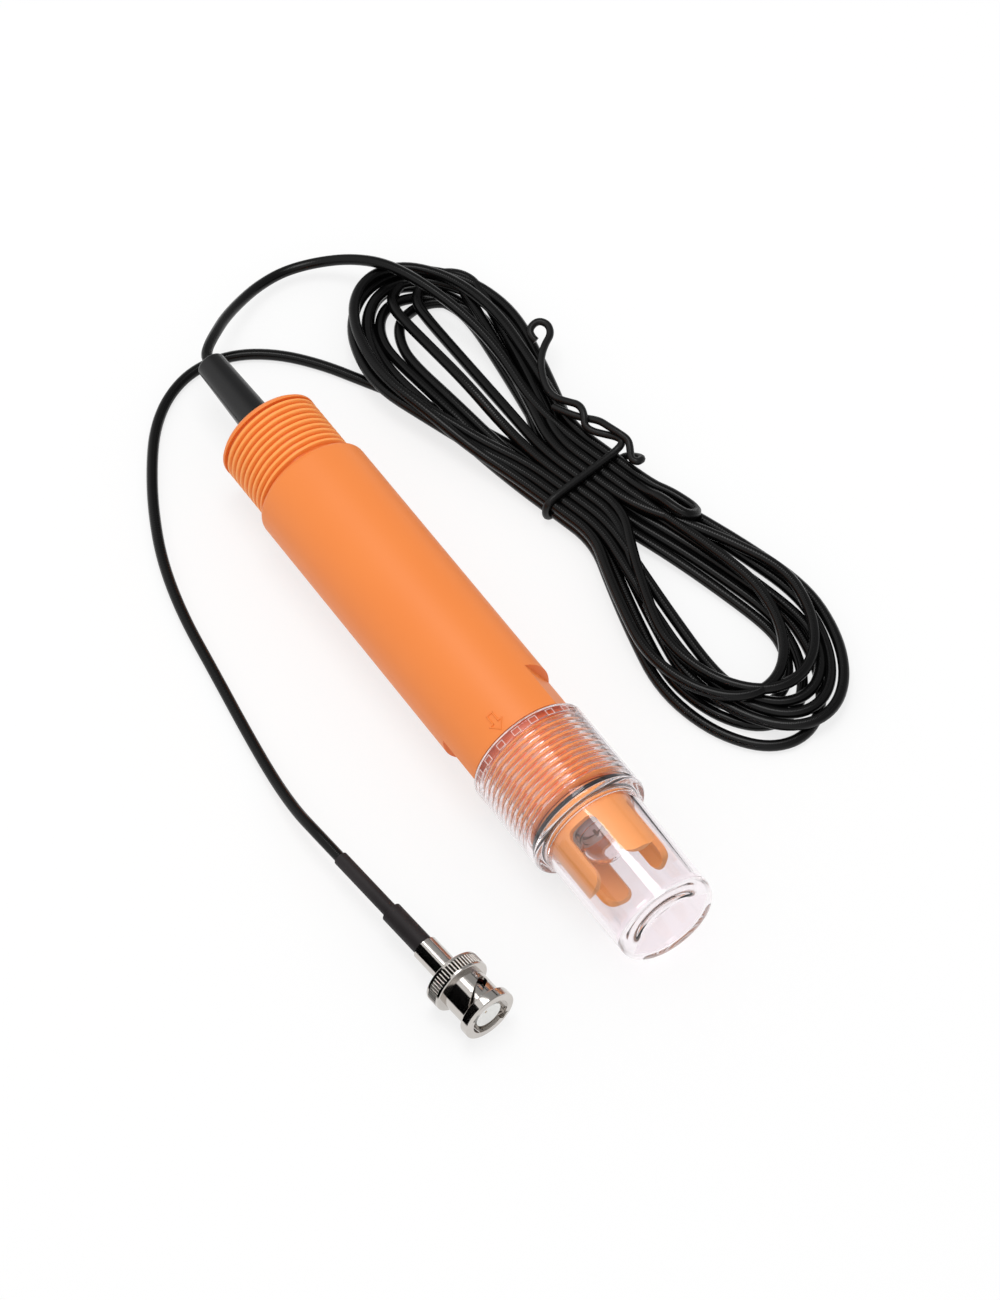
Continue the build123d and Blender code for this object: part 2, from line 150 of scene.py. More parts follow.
class NodeTree:
    """Builds a shader or geometry tree, with one method that makes every node."""

    def __init__(self, tree: bpy.types.NodeTree) -> None:
        """Keeps Blender's tree."""
        self.tree = tree

    def fill(self, node: bpy.types.Node, inputs: dict) -> None:
        """Sets or links a node's sockets, by name or number.

        Args:
            node: The node.
            inputs: Values or links, by the socket's name or number.
        """
        for name, given in inputs.items():
            if isinstance(given, Value):
                self.tree.links.new(given.socket, node.inputs[name])
            else:
                node.inputs[name].default_value = given

    def node(self, kind: str, settings: dict | None = None, inputs: dict | None = None) -> bpy.types.Node:
        """Makes a node.

        Args:
            kind: Blender's name of the node's type.
            settings: Its properties, which are set first.
            inputs: Values or links of its sockets, by name or number.

        Returns:
            The new node.
        """
        made = self.tree.nodes.new(kind)
        for name, setting in (settings or {}).items():
            setattr(made, name, setting)
        self.fill(made, inputs or {})
        return made

    def output(self, node: bpy.types.Node, name: str | int = 0) -> Value:
        """Wraps one of a node's outputs."""
        return Value(self, node.outputs[name])

    def value(
        self, kind: str, settings: dict | None = None, inputs: dict | None = None, name: str | int = 0
    ) -> Value:
        """Makes a node and wraps one of its outputs."""
        return self.output(self.node(kind, settings, inputs), name)

    def split(self, vector: Value) -> tuple[Value, Value, Value]:
        """A vector's three parts."""
        parts = self.node("ShaderNodeSeparateXYZ", inputs={0: vector})
        return tuple(self.output(parts, axis) for axis in "XYZ")

    def maths(self, operation: str, *operands: "Value | float") -> Value:
        """Adds a Math node for an operation on its numbers or values."""
        return self.value("ShaderNodeMath", {"operation": operation}, dict(enumerate(operands)))

    def smooth_step(self, value: Value, start: float, end: float) -> Value:
        """Rises smoothly from 0 to 1 as a value goes from start to end."""
        inputs = {"Value": value, "From Min": start, "From Max": end}
        return self.value("ShaderNodeMapRange", {"interpolation_type": "SMOOTHSTEP"}, inputs)


class ShaderTree(NodeTree):
    """A material's tree with its Principled shader."""

    MIX_INPUTS = (0, 6, 7)
    MIX_RESULT = 2

    def __init__(self, name: str) -> None:
        """Makes the material with its shader and output.

        Args:
            name: Name of the material.
        """
        self.material = bpy.data.materials.new(name)
        self.material.use_nodes = True
        super().__init__(self.material.node_tree)
        self.tree.nodes.clear()
        self.surface = self.node("ShaderNodeBsdfPrincipled")
        self.exit = self.node("ShaderNodeOutputMaterial", inputs={"Surface": self.output(self.surface)})

    def set(self, **sockets: "Value | float | tuple") -> None:
        """Sets or links the shader's sockets, named in lower case with underscores."""
        titles = {name: name.replace("_", " ").title().replace("Ior", "IOR") for name in sockets}
        self.fill(self.surface, {titles[name]: given for name, given in sockets.items()})

    def place(self) -> Value:
        """The point on the piece."""
        return self.value("ShaderNodeTexCoord", name="Object")

    def noise(self, size: float, detail: float = 2.0) -> Value:
        """Soft noise with features of a size in millimetres, from 0 to 1."""
        inputs = {"Vector": self.place(), "Scale": 1 / (size * MM), "Detail": detail}
        return self.value("ShaderNodeTexNoise", inputs=inputs, name="Fac")

    def mix(self, share: Value, first: "Value | Colour", second: "Value | Colour") -> Value:
        """Goes from one colour to another.

        Args:
            share: How far to go, from 0 to 1.
            first: The colour at 0.
            second: The colour at 1.

        Returns:
            The mixed colour.
        """
        first, second = (side if isinstance(side, Value) else linear(side) for side in (first, second))
        inputs = dict(zip(self.MIX_INPUTS, (share, first, second)))
        return self.value("ShaderNodeMix", {"data_type": "RGBA"}, inputs, self.MIX_RESULT)

    def attribute(self, name: str) -> Value:
        """A number that the piece's mesh carries."""
        return self.value("ShaderNodeAttribute", {"attribute_name": name}, name="Fac")

    def bump(self, height: Value, depth: float) -> None:
        """Gives the surface a relief of a depth in millimetres."""
        inputs = {"Strength": 1.0, "Distance": depth * MM, "Height": height}
        self.set(normal=self.value("ShaderNodeBump", inputs=inputs))

    def blend(self, share: Value, other: Value) -> None:
        """Mixes in another shader, which a share of 1 shows alone."""
        inputs = {0: share, 1: self.output(self.surface), 2: other}
        self.fill(self.exit, {"Surface": self.value("ShaderNodeMixShader", inputs=inputs)})


class GeometryTree(NodeTree):
    """A Geometry Nodes tree with named inputs, which leaves a plain mesh."""

    def __init__(self, name: str) -> None:
        """Makes an empty tree with its geometry input and output.

        Args:
            name: Name of the tree.
        """
        super().__init__(bpy.data.node_groups.new(name, "GeometryNodeTree"))
        self.tree.interface.new_socket("Geometry", in_out="OUTPUT", socket_type="NodeSocketGeometry")
        self.entry = self.node("NodeGroupInput")
        self.sockets: dict[str, str] = {}
        self.given = self.ask("Geometry", "NodeSocketGeometry")

    def ask(self, name: str, kind: str = "NodeSocketFloat") -> Value:
        """Adds a named input to the tree.

        Args:
            name: Name of the input.
            kind: Blender's name of its type.

        Returns:
            The input's value in the tree.
        """
        socket = self.tree.interface.new_socket(name, in_out="INPUT", socket_type=kind)
        self.sockets[name] = socket.identifier
        return self.output(self.entry, name)

    def around(self, copy: Value) -> Value:
        """Repeats a shape round the X axis, with named inputs for how many and how far out.

        Args:
            copy: The shape, which points along Z and away from the axis along X.

        Returns:
            The repeated shape.
        """
        count = self.ask("Count", "NodeSocketInt")
        radius = self.ask("Ring Radius")
        circle = self.value("GeometryNodeMeshCircle", inputs={"Vertices": count, "Radius": radius})
        turn = self.value("GeometryNodeInputIndex") * math.tau / count
        facing = self.value("ShaderNodeCombineXYZ", inputs={"Z": turn})
        inputs = {"Points": circle, "Instance": copy, "Rotation": facing}
        copies = self.value("GeometryNodeInstanceOnPoints", inputs=inputs)
        inputs = {"Geometry": copies, "Rotation": (0, math.pi / 2, 0)}
        return self.value("GeometryNodeTransform", inputs=inputs)

    def close(self, shape: Value) -> None:
        """Ends the tree with real geometry that has its material.

        Args:
            shape: The shape to end with.
        """
        finish = self.ask("Finish", "NodeSocketMaterial")
        whole = self.value("GeometryNodeRealizeInstances", inputs={"Geometry": shape})
        dressed = self.value("GeometryNodeSetMaterial", inputs={"Geometry": whole, "Material": finish})
        self.node("NodeGroupOutput", inputs={"Geometry": dressed})

    def shape(self, piece: Piece, **sizes: object) -> Piece:
        """Runs the tree on a piece and keeps the result as its mesh.

        Args:
            piece: The object that the tree starts from.
            sizes: The tree's inputs, named in lower case with underscores.

        Returns:
            The same object with a plain mesh.
        """
        modifier = piece.modifiers.new(self.tree.name, "NODES")
        modifier.node_group = self.tree
        for name, size in sizes.items():
            modifier[self.sockets[name.replace("_", " ").title()]] = size
        depsgraph = bpy.context.evaluated_depsgraph_get()
        mesh = bpy.data.meshes.new_from_object(piece.evaluated_get(depsgraph))
        piece.modifiers.clear()
        piece.data = mesh
        return piece


class ScrewThread(GeometryTree):
    """Lifts the rings of a turned mesh into a right-handed screw thread about the electrode's axis, and marks
    painted shade in its grooves and reliefs and a painted highlight on its crests.
    """

    SHARE = "thread_share"
    PAINTED_GROOVE_SHADE = "painted_groove_shade"
    CREST_HIGHLIGHT = "painted_crest_highlight"
    THREAD_SHADE = 0.3
    BOTTOM = 0.25
    FLANK = (0.3, 0.9)

    def __init__(self) -> None:
        """Builds the tree."""
        super().__init__("screw_thread")
        names = ("Start", "Pitch", "Depth", "Axis Height")
        start, pitch, depth, height = (self.ask(name) for name in names)
        along, across, above = self.split(self.value("GeometryNodeInputPosition"))
        up = above - height
        radius = self.maths("SQRT", across * across + up * up)
        turn = self.maths("ARCTAN2", up, across) / math.tau
        phase = self.maths("FRACT", (along - start) / pitch - turn + self.BOTTOM)
        from_crest = self.maths("ABSOLUTE", phase * 2 - 1)
        ridge = 1 - self.smooth_step(from_crest, *self.FLANK)
        inputs = {"Name": self.SHARE}
        share = self.value("GeometryNodeInputNamedAttribute", inputs=inputs, name="Attribute")
        # Painted shade: full where the sleeve has no ridge, at its ends and reliefs, and a share of
        # THREAD_SHADE down in the grooves.
        shade = 1 - share + share * self.THREAD_SHADE * (1 - ridge)
        marked = self.given
        for name, mark in ((self.PAINTED_GROOVE_SHADE, shade), (self.CREST_HIGHLIGHT, ridge * share)):
            inputs = {"Geometry": marked, "Name": name, "Value": mark}
            marked = self.value("GeometryNodeStoreNamedAttribute", inputs=inputs)
        lift = depth * ridge * share / radius
        offset = self.value("ShaderNodeCombineXYZ", inputs={"Y": across * lift, "Z": up * lift})
        inputs = {"Geometry": marked, "Offset": offset}
        self.close(self.value("GeometryNodeSetPosition", inputs=inputs))


class KnurlRing(GeometryTree):
    """Straight knurl ridges round the X axis."""

    RIDGE_SIDES = 8

    def __init__(self) -> None:
        """Builds the tree."""
        super().__init__("knurl_ring")
        inputs = {
            "Vertices": self.RIDGE_SIDES,
            "Radius": self.ask("Ridge Radius"),
            "Depth": self.ask("Ridge Length"),
        }
        self.close(self.around(self.value("GeometryNodeMeshCylinder", inputs=inputs, name="Mesh")))


class NotchRing(GeometryTree):
    """Small square outlines round the X axis."""

    BEAD_SIDES = 6

    def __init__(self) -> None:
        """Builds the tree."""
        super().__init__("notch_ring")
        inputs = {"Width": self.ask("Notch Width"), "Height": self.ask("Notch Length")}
        square = self.value("GeometryNodeCurvePrimitiveQuadrilateral", inputs=inputs)
        inputs = {"Geometry": square, "Rotation": (math.pi / 2, 0, math.pi / 2)}
        upright = self.value("GeometryNodeTransform", inputs=inputs)
        inputs = {"Resolution": self.BEAD_SIDES, "Radius": self.ask("Bead Radius")}
        bead = self.value("GeometryNodeCurvePrimitiveCircle", inputs=inputs)
        inputs = {"Curve": upright, "Profile Curve": bead}
        self.close(self.around(self.value("GeometryNodeCurveToMesh", inputs=inputs)))


# Finishes


@dataclass(frozen=True)
class SolidFinish:
    """An opaque finish with soft mottling, uneven gloss and a fine relief.

    Attributes:
        slot: The record's material slot.
        colour: Its main colour, as a screen shows it.
        mottle: The colour that it drifts towards.
        mottle_size: Size of the drifts in millimetres.
        gloss: Lowest and highest roughness.
        grain: Size and depth of the relief in millimetres.
        metallic: 1 for a metal.
        specular: Strength of its gloss, 0.5 for most plastics.
    """

    slot: Slot
    colour: Colour
    mottle: Colour
    mottle_size: float
    gloss: Pair
    grain: Pair
    metallic: float = 0.0
    specular: float = 0.5

    def colouring(self, shader: ShaderTree) -> Value:
        """The colour over the surface."""
        return shader.mix(shader.noise(self.mottle_size), self.colour, self.mottle)

    def make(self, name: str | None = None) -> bpy.types.Material:
        """Builds the material, named for its slot unless it has a name of its own.

        Args:
            name: The finish's own name, where its slot has two.

        Returns:
            The material.
        """
        shader = ShaderTree(f"{name or self.slot.value}_finish")
        grain_size, grain_depth = self.grain
        relief = shader.noise(grain_size)
        low, high = self.gloss
        shader.set(
            base_color=self.colouring(shader),
            roughness=low + (high - low) * relief,
            metallic=self.metallic,
            specular_ior_level=self.specular,
        )
        shader.bump(relief, grain_depth)
        return shader.material


@dataclass(frozen=True)
class GrooveShadedFinish(SolidFinish):
    """A finish with painted shade in the grooves of a thread or a knurl.

    Attributes:
        painted_groove_shade: Colour of the painted shade in the grooves.
    """

    painted_groove_shade: Colour = (0.0, 0.0, 0.0)

    def colouring(self, shader: ShaderTree) -> Value:
        """The colour over the surface, with painted shade in the grooves."""
        return shader.mix(shader.attribute(ScrewThread.PAINTED_GROOVE_SHADE), super().colouring(shader), self.painted_groove_shade)


@dataclass(frozen=True)
class BodyFinish(GrooveShadedFinish):
    """The body's finish, with painted shade in the grooves, a painted highlight on the threads' crests and
    painted light in the thin tabs, where light comes through.

    Attributes:
        painted_crest_highlight: Colour of the painted highlight on the crests.
        thin: Colour of the guard's tabs, paler as painted light that stands for light coming through them.
        thin_span: Stations between which the colour changes.
    """

    painted_crest_highlight: Colour = (1.0, 1.0, 1.0)
    thin: Colour = (1.0, 1.0, 1.0)
    thin_span: Pair = (0.0, 1.0)

    def colouring(self, shader: ShaderTree) -> Value:
        """The colour over the surface, with painted shade in the grooves, a painted highlight on the crests
        and painted light in the tabs.

        Args:
            shader: The material's tree.

        Returns:
            The colour.
        """
        along, _, _ = shader.split(shader.place())
        first, last = (station * MM for station in self.thin_span)
        # Painted light: the guard's tabs grow paler along the axis, standing in for light coming through the
        # thin plastic.
        tabs = shader.smooth_step(along, first, last)
        # Painted highlight: the thread crests are paler, standing in for light catching them.
        crest_highlighted = shader.mix(shader.attribute(ScrewThread.CREST_HIGHLIGHT), super().colouring(shader), self.painted_crest_highlight)
        return shader.mix(tabs, crest_highlighted, self.thin)


@dataclass(frozen=True)
class ClearFinish:
    """A clear finish that bends light and lets most of it through as shadow.

    Attributes:
        slot: The record's material slot.
        tint: The colour that it gives to what is seen through it.
        roughness: Roughness of its surface.
        ior: Index of refraction.
        ripple: Size and depth of its faint unevenness in millimetres.
        clarity: Share of the light that passes straight through to what lies behind.
    """

    slot: Slot
    tint: Colour
    roughness: float
    ior: float
    ripple: Pair
    clarity: float

    def make(self) -> bpy.types.Material:
        """Builds the material.

        Returns:
            The material.
        """
        shader = ShaderTree(f"{self.slot.value}_finish")
        ripple_size, ripple_depth = self.ripple
        ripple = shader.noise(ripple_size, detail=0.0)
        shader.set(
            base_color=linear(self.tint),
            roughness=self.roughness,
            ior=self.ior,
            transmission_weight=1.0,
        )
        shader.bump(ripple, ripple_depth)
        shadow = shader.value("ShaderNodeLightPath", name="Is Shadow Ray") * self.clarity
        shader.blend(shadow, shader.value("ShaderNodeBsdfTransparent", inputs={"Color": linear(self.tint)}))
        return shader.material


@dataclass(frozen=True)
class BraidedFinish:
    """The glossy jacket of the cord, through which the braid under it shows as fine crossed ridges.

    Attributes:
        slot: The record's material slot.
        colour: Colour of the jacket.
        rib: Colour of the ridges.
        gloss: Roughness in the hollows and on the ridges.
        pitch: Spacing of the ridges along the cord in millimetres.
        strands: Ridges round the cord.
        depth: Their height in millimetres.
        specular: Strength of its gloss.
    """

    slot: Slot
    colour: Colour
    rib: Colour
    gloss: Pair
    pitch: float
    strands: int
    depth: float
    specular: float

    def make(self, length: float) -> bpy.types.Material:
        """Builds the material.

        Args:
            length: Length of the cord in millimetres, over which its map runs from 0 to 1.

        Returns:
            The material.
        """
        shader = ShaderTree(f"{self.slot.value}_finish")
        lengthwise, sideways, _ = shader.split(shader.value("ShaderNodeTexCoord", name="UV"))
        along = lengthwise * (length / self.pitch * math.tau)
        around = sideways * (self.strands * math.tau)
        ridges = shader.maths("SINE", along + around) * shader.maths("SINE", along - around)
        height = ridges * 0.5 + 0.5
        low, high = self.gloss
        shader.set(
            base_color=shader.mix(height, self.colour, self.rib),
            roughness=low + (high - low) * height,
            specular_ior_level=self.specular,
        )
        shader.bump(height, self.depth)
        return shader.material


# Each row gives slot, colour, mottle, its size, gloss, grain, metallic and specular
PLAIN_ROWS = (
    (Slot.SEAL_RUBBER, (0.02, 0.02, 0.022), (0.035, 0.035, 0.037), 2.0, (0.35, 0.5), (0.3, 0.01), 0.0, 0.3),
    (Slot.BOOT_RUBBER, (0.05, 0.05, 0.055), (0.07, 0.07, 0.075), 6.0, (0.18, 0.26), (0.4, 0.012), 0.0, 0.42),
    (Slot.TIE_JACKET, (0.03, 0.03, 0.032), (0.06, 0.06, 0.062), 3.0, (0.32, 0.45), (0.5, 0.02), 0.0, 0.25),
    (Slot.SHRINK_SLEEVE, (0.13, 0.115, 0.12), (0.16, 0.14, 0.145), 4.0, (0.5, 0.65), (0.35, 0.03), 0.0, 0.25),
    (Slot.POROUS_CERAMIC, (0.90, 0.88, 0.84), (0.80, 0.78, 0.74), 1.5, (0.8, 0.95), (0.25, 0.05), 0.0, 0.5),
    (Slot.SILVER_WIRE, (0.86, 0.85, 0.83), (0.62, 0.60, 0.58), 3.0, (0.25, 0.4), (0.2, 0.005), 1.0, 0.5),
    (Slot.POTTING_RESIN, (0.045, 0.042, 0.04), (0.07, 0.065, 0.06), 3.0, (0.25, 0.4), (1.5, 0.02), 0.0, 0.5),
    (Slot.WHITE_INSULATOR, (0.95, 0.95, 0.94), (0.92, 0.92, 0.91), 2.0, (0.4, 0.5), (0.3, 0.005), 0.0, 0.5),
    (Slot.GOLD_CONTACT, (0.95, 0.78, 0.42), (0.90, 0.70, 0.35), 1.0, (0.15, 0.25), (0.2, 0.002), 1.0, 0.5),
    (Slot.SOFT_GASKET, (0.55, 0.18, 0.14), (0.60, 0.22, 0.17), 1.0, (0.5, 0.65), (0.2, 0.01), 0.0, 0.5),
    (Slot.SPRING_STEEL, (0.62, 0.61, 0.60), (0.50, 0.49, 0.48), 2.0, (0.25, 0.4), (0.2, 0.004), 1.0, 0.5),
)
SOLID_FINISHES = (
    BodyFinish(
        Slot.ORANGE_MOULDING,
        colour=(0.93, 0.505, 0.19),
        mottle=(0.94, 0.525, 0.21),
        mottle_size=22.0,
        gloss=(0.42, 0.52),
        grain=(0.35, 0.006),
        # painted shade in the thread grooves and reliefs
        painted_groove_shade=(0.84, 0.36, 0.09),
        # painted highlight on the thread crests
        painted_crest_highlight=(0.99, 0.63, 0.30),
        # painted light in the guard's tabs
        thin=(0.99, 0.67, 0.36),
        specular=0.6,
        thin_span=(60.5, 64.0),
    ),
    GrooveShadedFinish(
        Slot.NICKEL_PLATE,
        colour=(0.82, 0.80, 0.78),
        mottle=(0.76, 0.74, 0.72),
        mottle_size=5.0,
        gloss=(0.07, 0.16),
        grain=(0.25, 0.002),
        metallic=1.0,
        # painted shade on the knurl's sunk band between the ridges
        painted_groove_shade=(0.10, 0.095, 0.09),
    ),
    *(SolidFinish(*row) for row in PLAIN_ROWS),
)
CLEAR_FINISHES = (
    ClearFinish(Slot.CLEAR_MOULDING, (0.985, 0.965, 0.975), 0.0, 1.49, (9.0, 0.03), 0.97),
    ClearFinish(Slot.CLEAR_GLASS, (0.99, 0.97, 0.97), 0.0, 1.47, (6.0, 0.02), 0.97),
)
# Pale beads on the notches' real outlines; their pale opaque colour is a painted highlight on the clear
# collar.
NOTCH_EDGE_HIGHLIGHT = SolidFinish(
    Slot.CLEAR_MOULDING, (0.95, 0.84, 0.80), (0.98, 0.92, 0.90), 1.5, (0.25, 0.4), (0.3, 0.005)
)
# Near-white opaque fill in the stem: the stem holds a buffer, but this paleness is painted light that stands
# for light coming through the bulb.
BUFFER_LIGHT_FILL = SolidFinish(
    Slot.CLEAR_GLASS, (0.98, 0.95, 0.96), (0.99, 0.98, 0.98), 3.0, (0.2, 0.3), (2.0, 0.03)
)
CORD_FINISH = BraidedFinish(
    Slot.CORD_JACKET, (0.02, 0.02, 0.021), (0.035, 0.034, 0.035), (0.16, 0.3), 1.1, 5, 0.02, specular=0.21
)


# Meshes


@dataclass(frozen=True)
class Ring:
    """A ring of a turned mesh.

    Attributes:
        station: Its place along the axis.
        radius: Its radius, with 0 for a point on the axis.
        thread: The share of the screw thread that it carries.
    """

    station: float
    radius: float
    thread: float = 0.0


def arc(station: float, radius: float, size: float, first: float, last: float, steps: int = 7) -> list[Ring]:
    """Rings along an arc of the outline.

    Args:
        station: Station of the arc's centre.
        radius: Distance of that centre from the axis.
        size: Radius of the arc.
        first: Angle of its first ring in degrees, from the axis' direction towards the outside.
        last: Angle of its last ring.
        steps: Number of its steps.

    Returns:
        The rings in order.
    """
    turns = [math.radians(first + (last - first) * step / steps) for step in range(steps + 1)]
    return [Ring(station + size * math.cos(turn), radius + size * math.sin(turn)) for turn in turns]


def supported(rings: Sequence[Ring], margin: float = 0.2) -> list[Ring]:
    """Adds a ring near each end of every long stretch, so that shading stays true beside the rounds.

    Args:
        rings: An outline.
        margin: Distance of the new rings from the ends.

    Returns:
        The outline with its new rings.
    """
    result = [rings[0]]
    for before, after in zip(rings, rings[1:]):
        length = math.hypot(after.station - before.station, after.radius - before.radius)
        if length > 4 * margin:
            for share in (margin / length, 1 - margin / length):
                station = before.station + share * (after.station - before.station)
                radius = before.radius + share * (after.radius - before.radius)
                result.append(Ring(station, radius, before.thread + share * (after.thread - before.thread)))
        result.append(after)
    return result


def new_piece(name: str, data: bpy.types.ID) -> Piece:
    """Links a new object for a mesh, a curve, a lamp or a camera.

    Args:
        name: Name of the object.
        data: What it shows.

    Returns:
        The object.
    """
    piece = bpy.data.objects.new(name, data)
    bpy.context.scene.collection.objects.link(piece)
    return piece


def turned_piece(name: str, rings: Sequence[Ring], sides: int, axis_height: float) -> Piece:
    """Makes a closed mesh turned about the electrode's axis.

    Args:
        name: Name of the object.
        rings: Its outline, which ends on the axis or goes round to its start.
        sides: Number of sides of each ring.
        axis_height: Height of the axis above the floor.

    Returns:
        The object, with the rings' thread shares as an attribute.
    """
    shape = bmesh.new()
    share = shape.verts.layers.float.new(ScrewThread.SHARE)
    loops = []
    for ring in rings:
        loop = []
        for side in range(sides if ring.radius > 0 else 1):
            turn = math.tau * side / sides
            place = (ring.station, ring.radius * math.cos(turn), axis_height + ring.radius * math.sin(turn))
            vertex = shape.verts.new(Vector(place) * MM)
            vertex[share] = ring.thread
            loop.append(vertex)
        loops.append(loop)
    pairs = list(zip(loops, loops[1:]))
    if len(loops[0]) > 1:
        pairs.append((loops[-1], loops[0]))
    for first, second in pairs:
        for side in range(sides):
            corners = [first[side % len(first)], first[(side + 1) % sides % len(first)]]
            corners += [second[(side + 1) % sides % len(second)], second[side % len(second)]]
            shape.faces.new(list(dict.fromkeys(corners)))
    bmesh.ops.recalc_face_normals(shape, faces=shape.faces)
    return finished(name, shape)


def node_shape(node: str) -> bmesh.types.BMesh:
    """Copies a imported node's mesh with its corners merged.

    Args:
        node: Name of the node.

    Returns:
        The copy.
    """
    shape = bmesh.new()
    shape.from_mesh(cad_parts[node].data)
    bmesh.ops.remove_doubles(shape, verts=shape.verts, dist=MERGE_DISTANCE * MM)
    return shape


def finished(name: str, shape: bmesh.types.BMesh) -> Piece:
    """Makes an object of a shape.

    Args:
        name: Name of the object.
        shape: The shape, which is freed.

    Returns:
        The object.
    """
    mesh = bpy.data.meshes.new(name)
    shape.to_mesh(mesh)
    shape.free()
    return new_piece(name, mesh)


def soften(mesh: bpy.types.Mesh, sharp_angle: float) -> None:
    """Shades a mesh smooth, apart from edges that turn by more than an angle in degrees.

    Args:
        mesh: The mesh.
        sharp_angle: The angle between sharp and soft edges.
    """
    packed_normals = mesh.attributes.get("custom_normal")
    if packed_normals:
        mesh.attributes.remove(packed_normals)
    mesh.shade_smooth()
    mesh.set_sharp_from_angle(angle=math.radians(sharp_angle))


def join(name: str, pieces: Sequence[Piece], finish: bpy.types.Material) -> Piece:
    """Joins pieces into one object with one finish.

    Args:
        name: Name of the joined object.
        pieces: Objects at the origin, which are removed.
        finish: The material of the whole.

    Returns:
        The joined object.
    """
    whole = bmesh.new()
    for piece in pieces:
        whole.from_mesh(piece.data)
        bpy.data.objects.remove(piece)
    for face in whole.faces:
        face.material_index = 0
    joined = finished(name, whole)
    joined.data.materials.clear()
    joined.data.materials.append(finish)
    return joined


def curve_piece(name: str, route: Sequence[Vector], radius: float, finish: bpy.types.Material) -> Piece:
    """Makes a round cord along one smooth open spline.

    Args:
        name: Name of the object.
        route: Control points in millimetres.
        radius: Radius of the cord.
        finish: Its material.

    Returns:
        The curve object.
    """
    curve = bpy.data.curves.new(name, "CURVE")
    curve.dimensions = "3D"
    curve.bevel_depth = radius * MM
    curve.bevel_resolution = 3
    curve.use_fill_caps = True
    curve.materials.append(finish)
    spline = curve.splines.new("NURBS")
    spline.points.add(len(route) - 1)
    for control, place in zip(spline.points, route):
        control.co = (*(place * MM), 1.0)
    spline.order_u = 3
    spline.use_endpoint_u = True
    spline.resolution_u = 6
    return new_piece(name, curve)


def flat_piece(
    name: str, middle: Vector, length: Vector, width: Vector, finish: bpy.types.Material
) -> Piece:
    """Makes a rectangle.

    Args:
        name: Name of the object.
        middle: Its middle in metres.
        length: From the middle to one of its sides.
        width: From the middle to a side beside that one.
        finish: Its material.

    Returns:
        The object.
    """
    corners = [middle - length - width, middle + length - width]
    corners += [middle + length + width, middle - length + width]
    mesh = bpy.data.meshes.new(name)
    mesh.from_pydata(corners, [], [(0, 1, 2, 3)])
    mesh.materials.append(finish)
    return new_piece(name, mesh)


def settle(piece: Piece, body: Body, slot: Slot, *nodes: str) -> Piece:
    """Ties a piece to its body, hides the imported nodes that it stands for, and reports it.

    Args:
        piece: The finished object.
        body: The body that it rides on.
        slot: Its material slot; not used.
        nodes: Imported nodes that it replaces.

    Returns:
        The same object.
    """
    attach(piece, body.value)
    if nodes:
        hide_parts(*nodes)
    LOG.info("%s rides on %s", piece.name, body.value)
    return piece


# Sub-assemblies


class Finishes:
    """All the materials, by slot."""

    def __init__(self, cord_length: float) -> None:
        """Builds every material.

        Args:
            cord_length: Length of the cord in millimetres.
        """
        self.made = {finish.slot: finish.make() for finish in (*SOLID_FINISHES, *CLEAR_FINISHES)}
        self.made[Slot.CORD_JACKET] = CORD_FINISH.make(cord_length)
        # The notch beads' pale colour is a painted highlight.
        self.notch_edge_highlight = NOTCH_EDGE_HIGHLIGHT.make("notch_edge_highlight")
        # The stem fill's near-white colour is painted light.
        self.buffer_light_fill = BUFFER_LIGHT_FILL.make("buffer_light_fill")

    def __getitem__(self, slot: Slot) -> bpy.types.Material:
        """The material of a slot."""
        return self.made[slot]

    def dress_nodes(self) -> None:
        """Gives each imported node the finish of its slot."""
        for name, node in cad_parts.items():
            slot = Slot(node.material_slots[0].material.name)
            node.material_slots[0].material = self.made[slot]
            LOG.info("%s takes %s", name, slot.value)


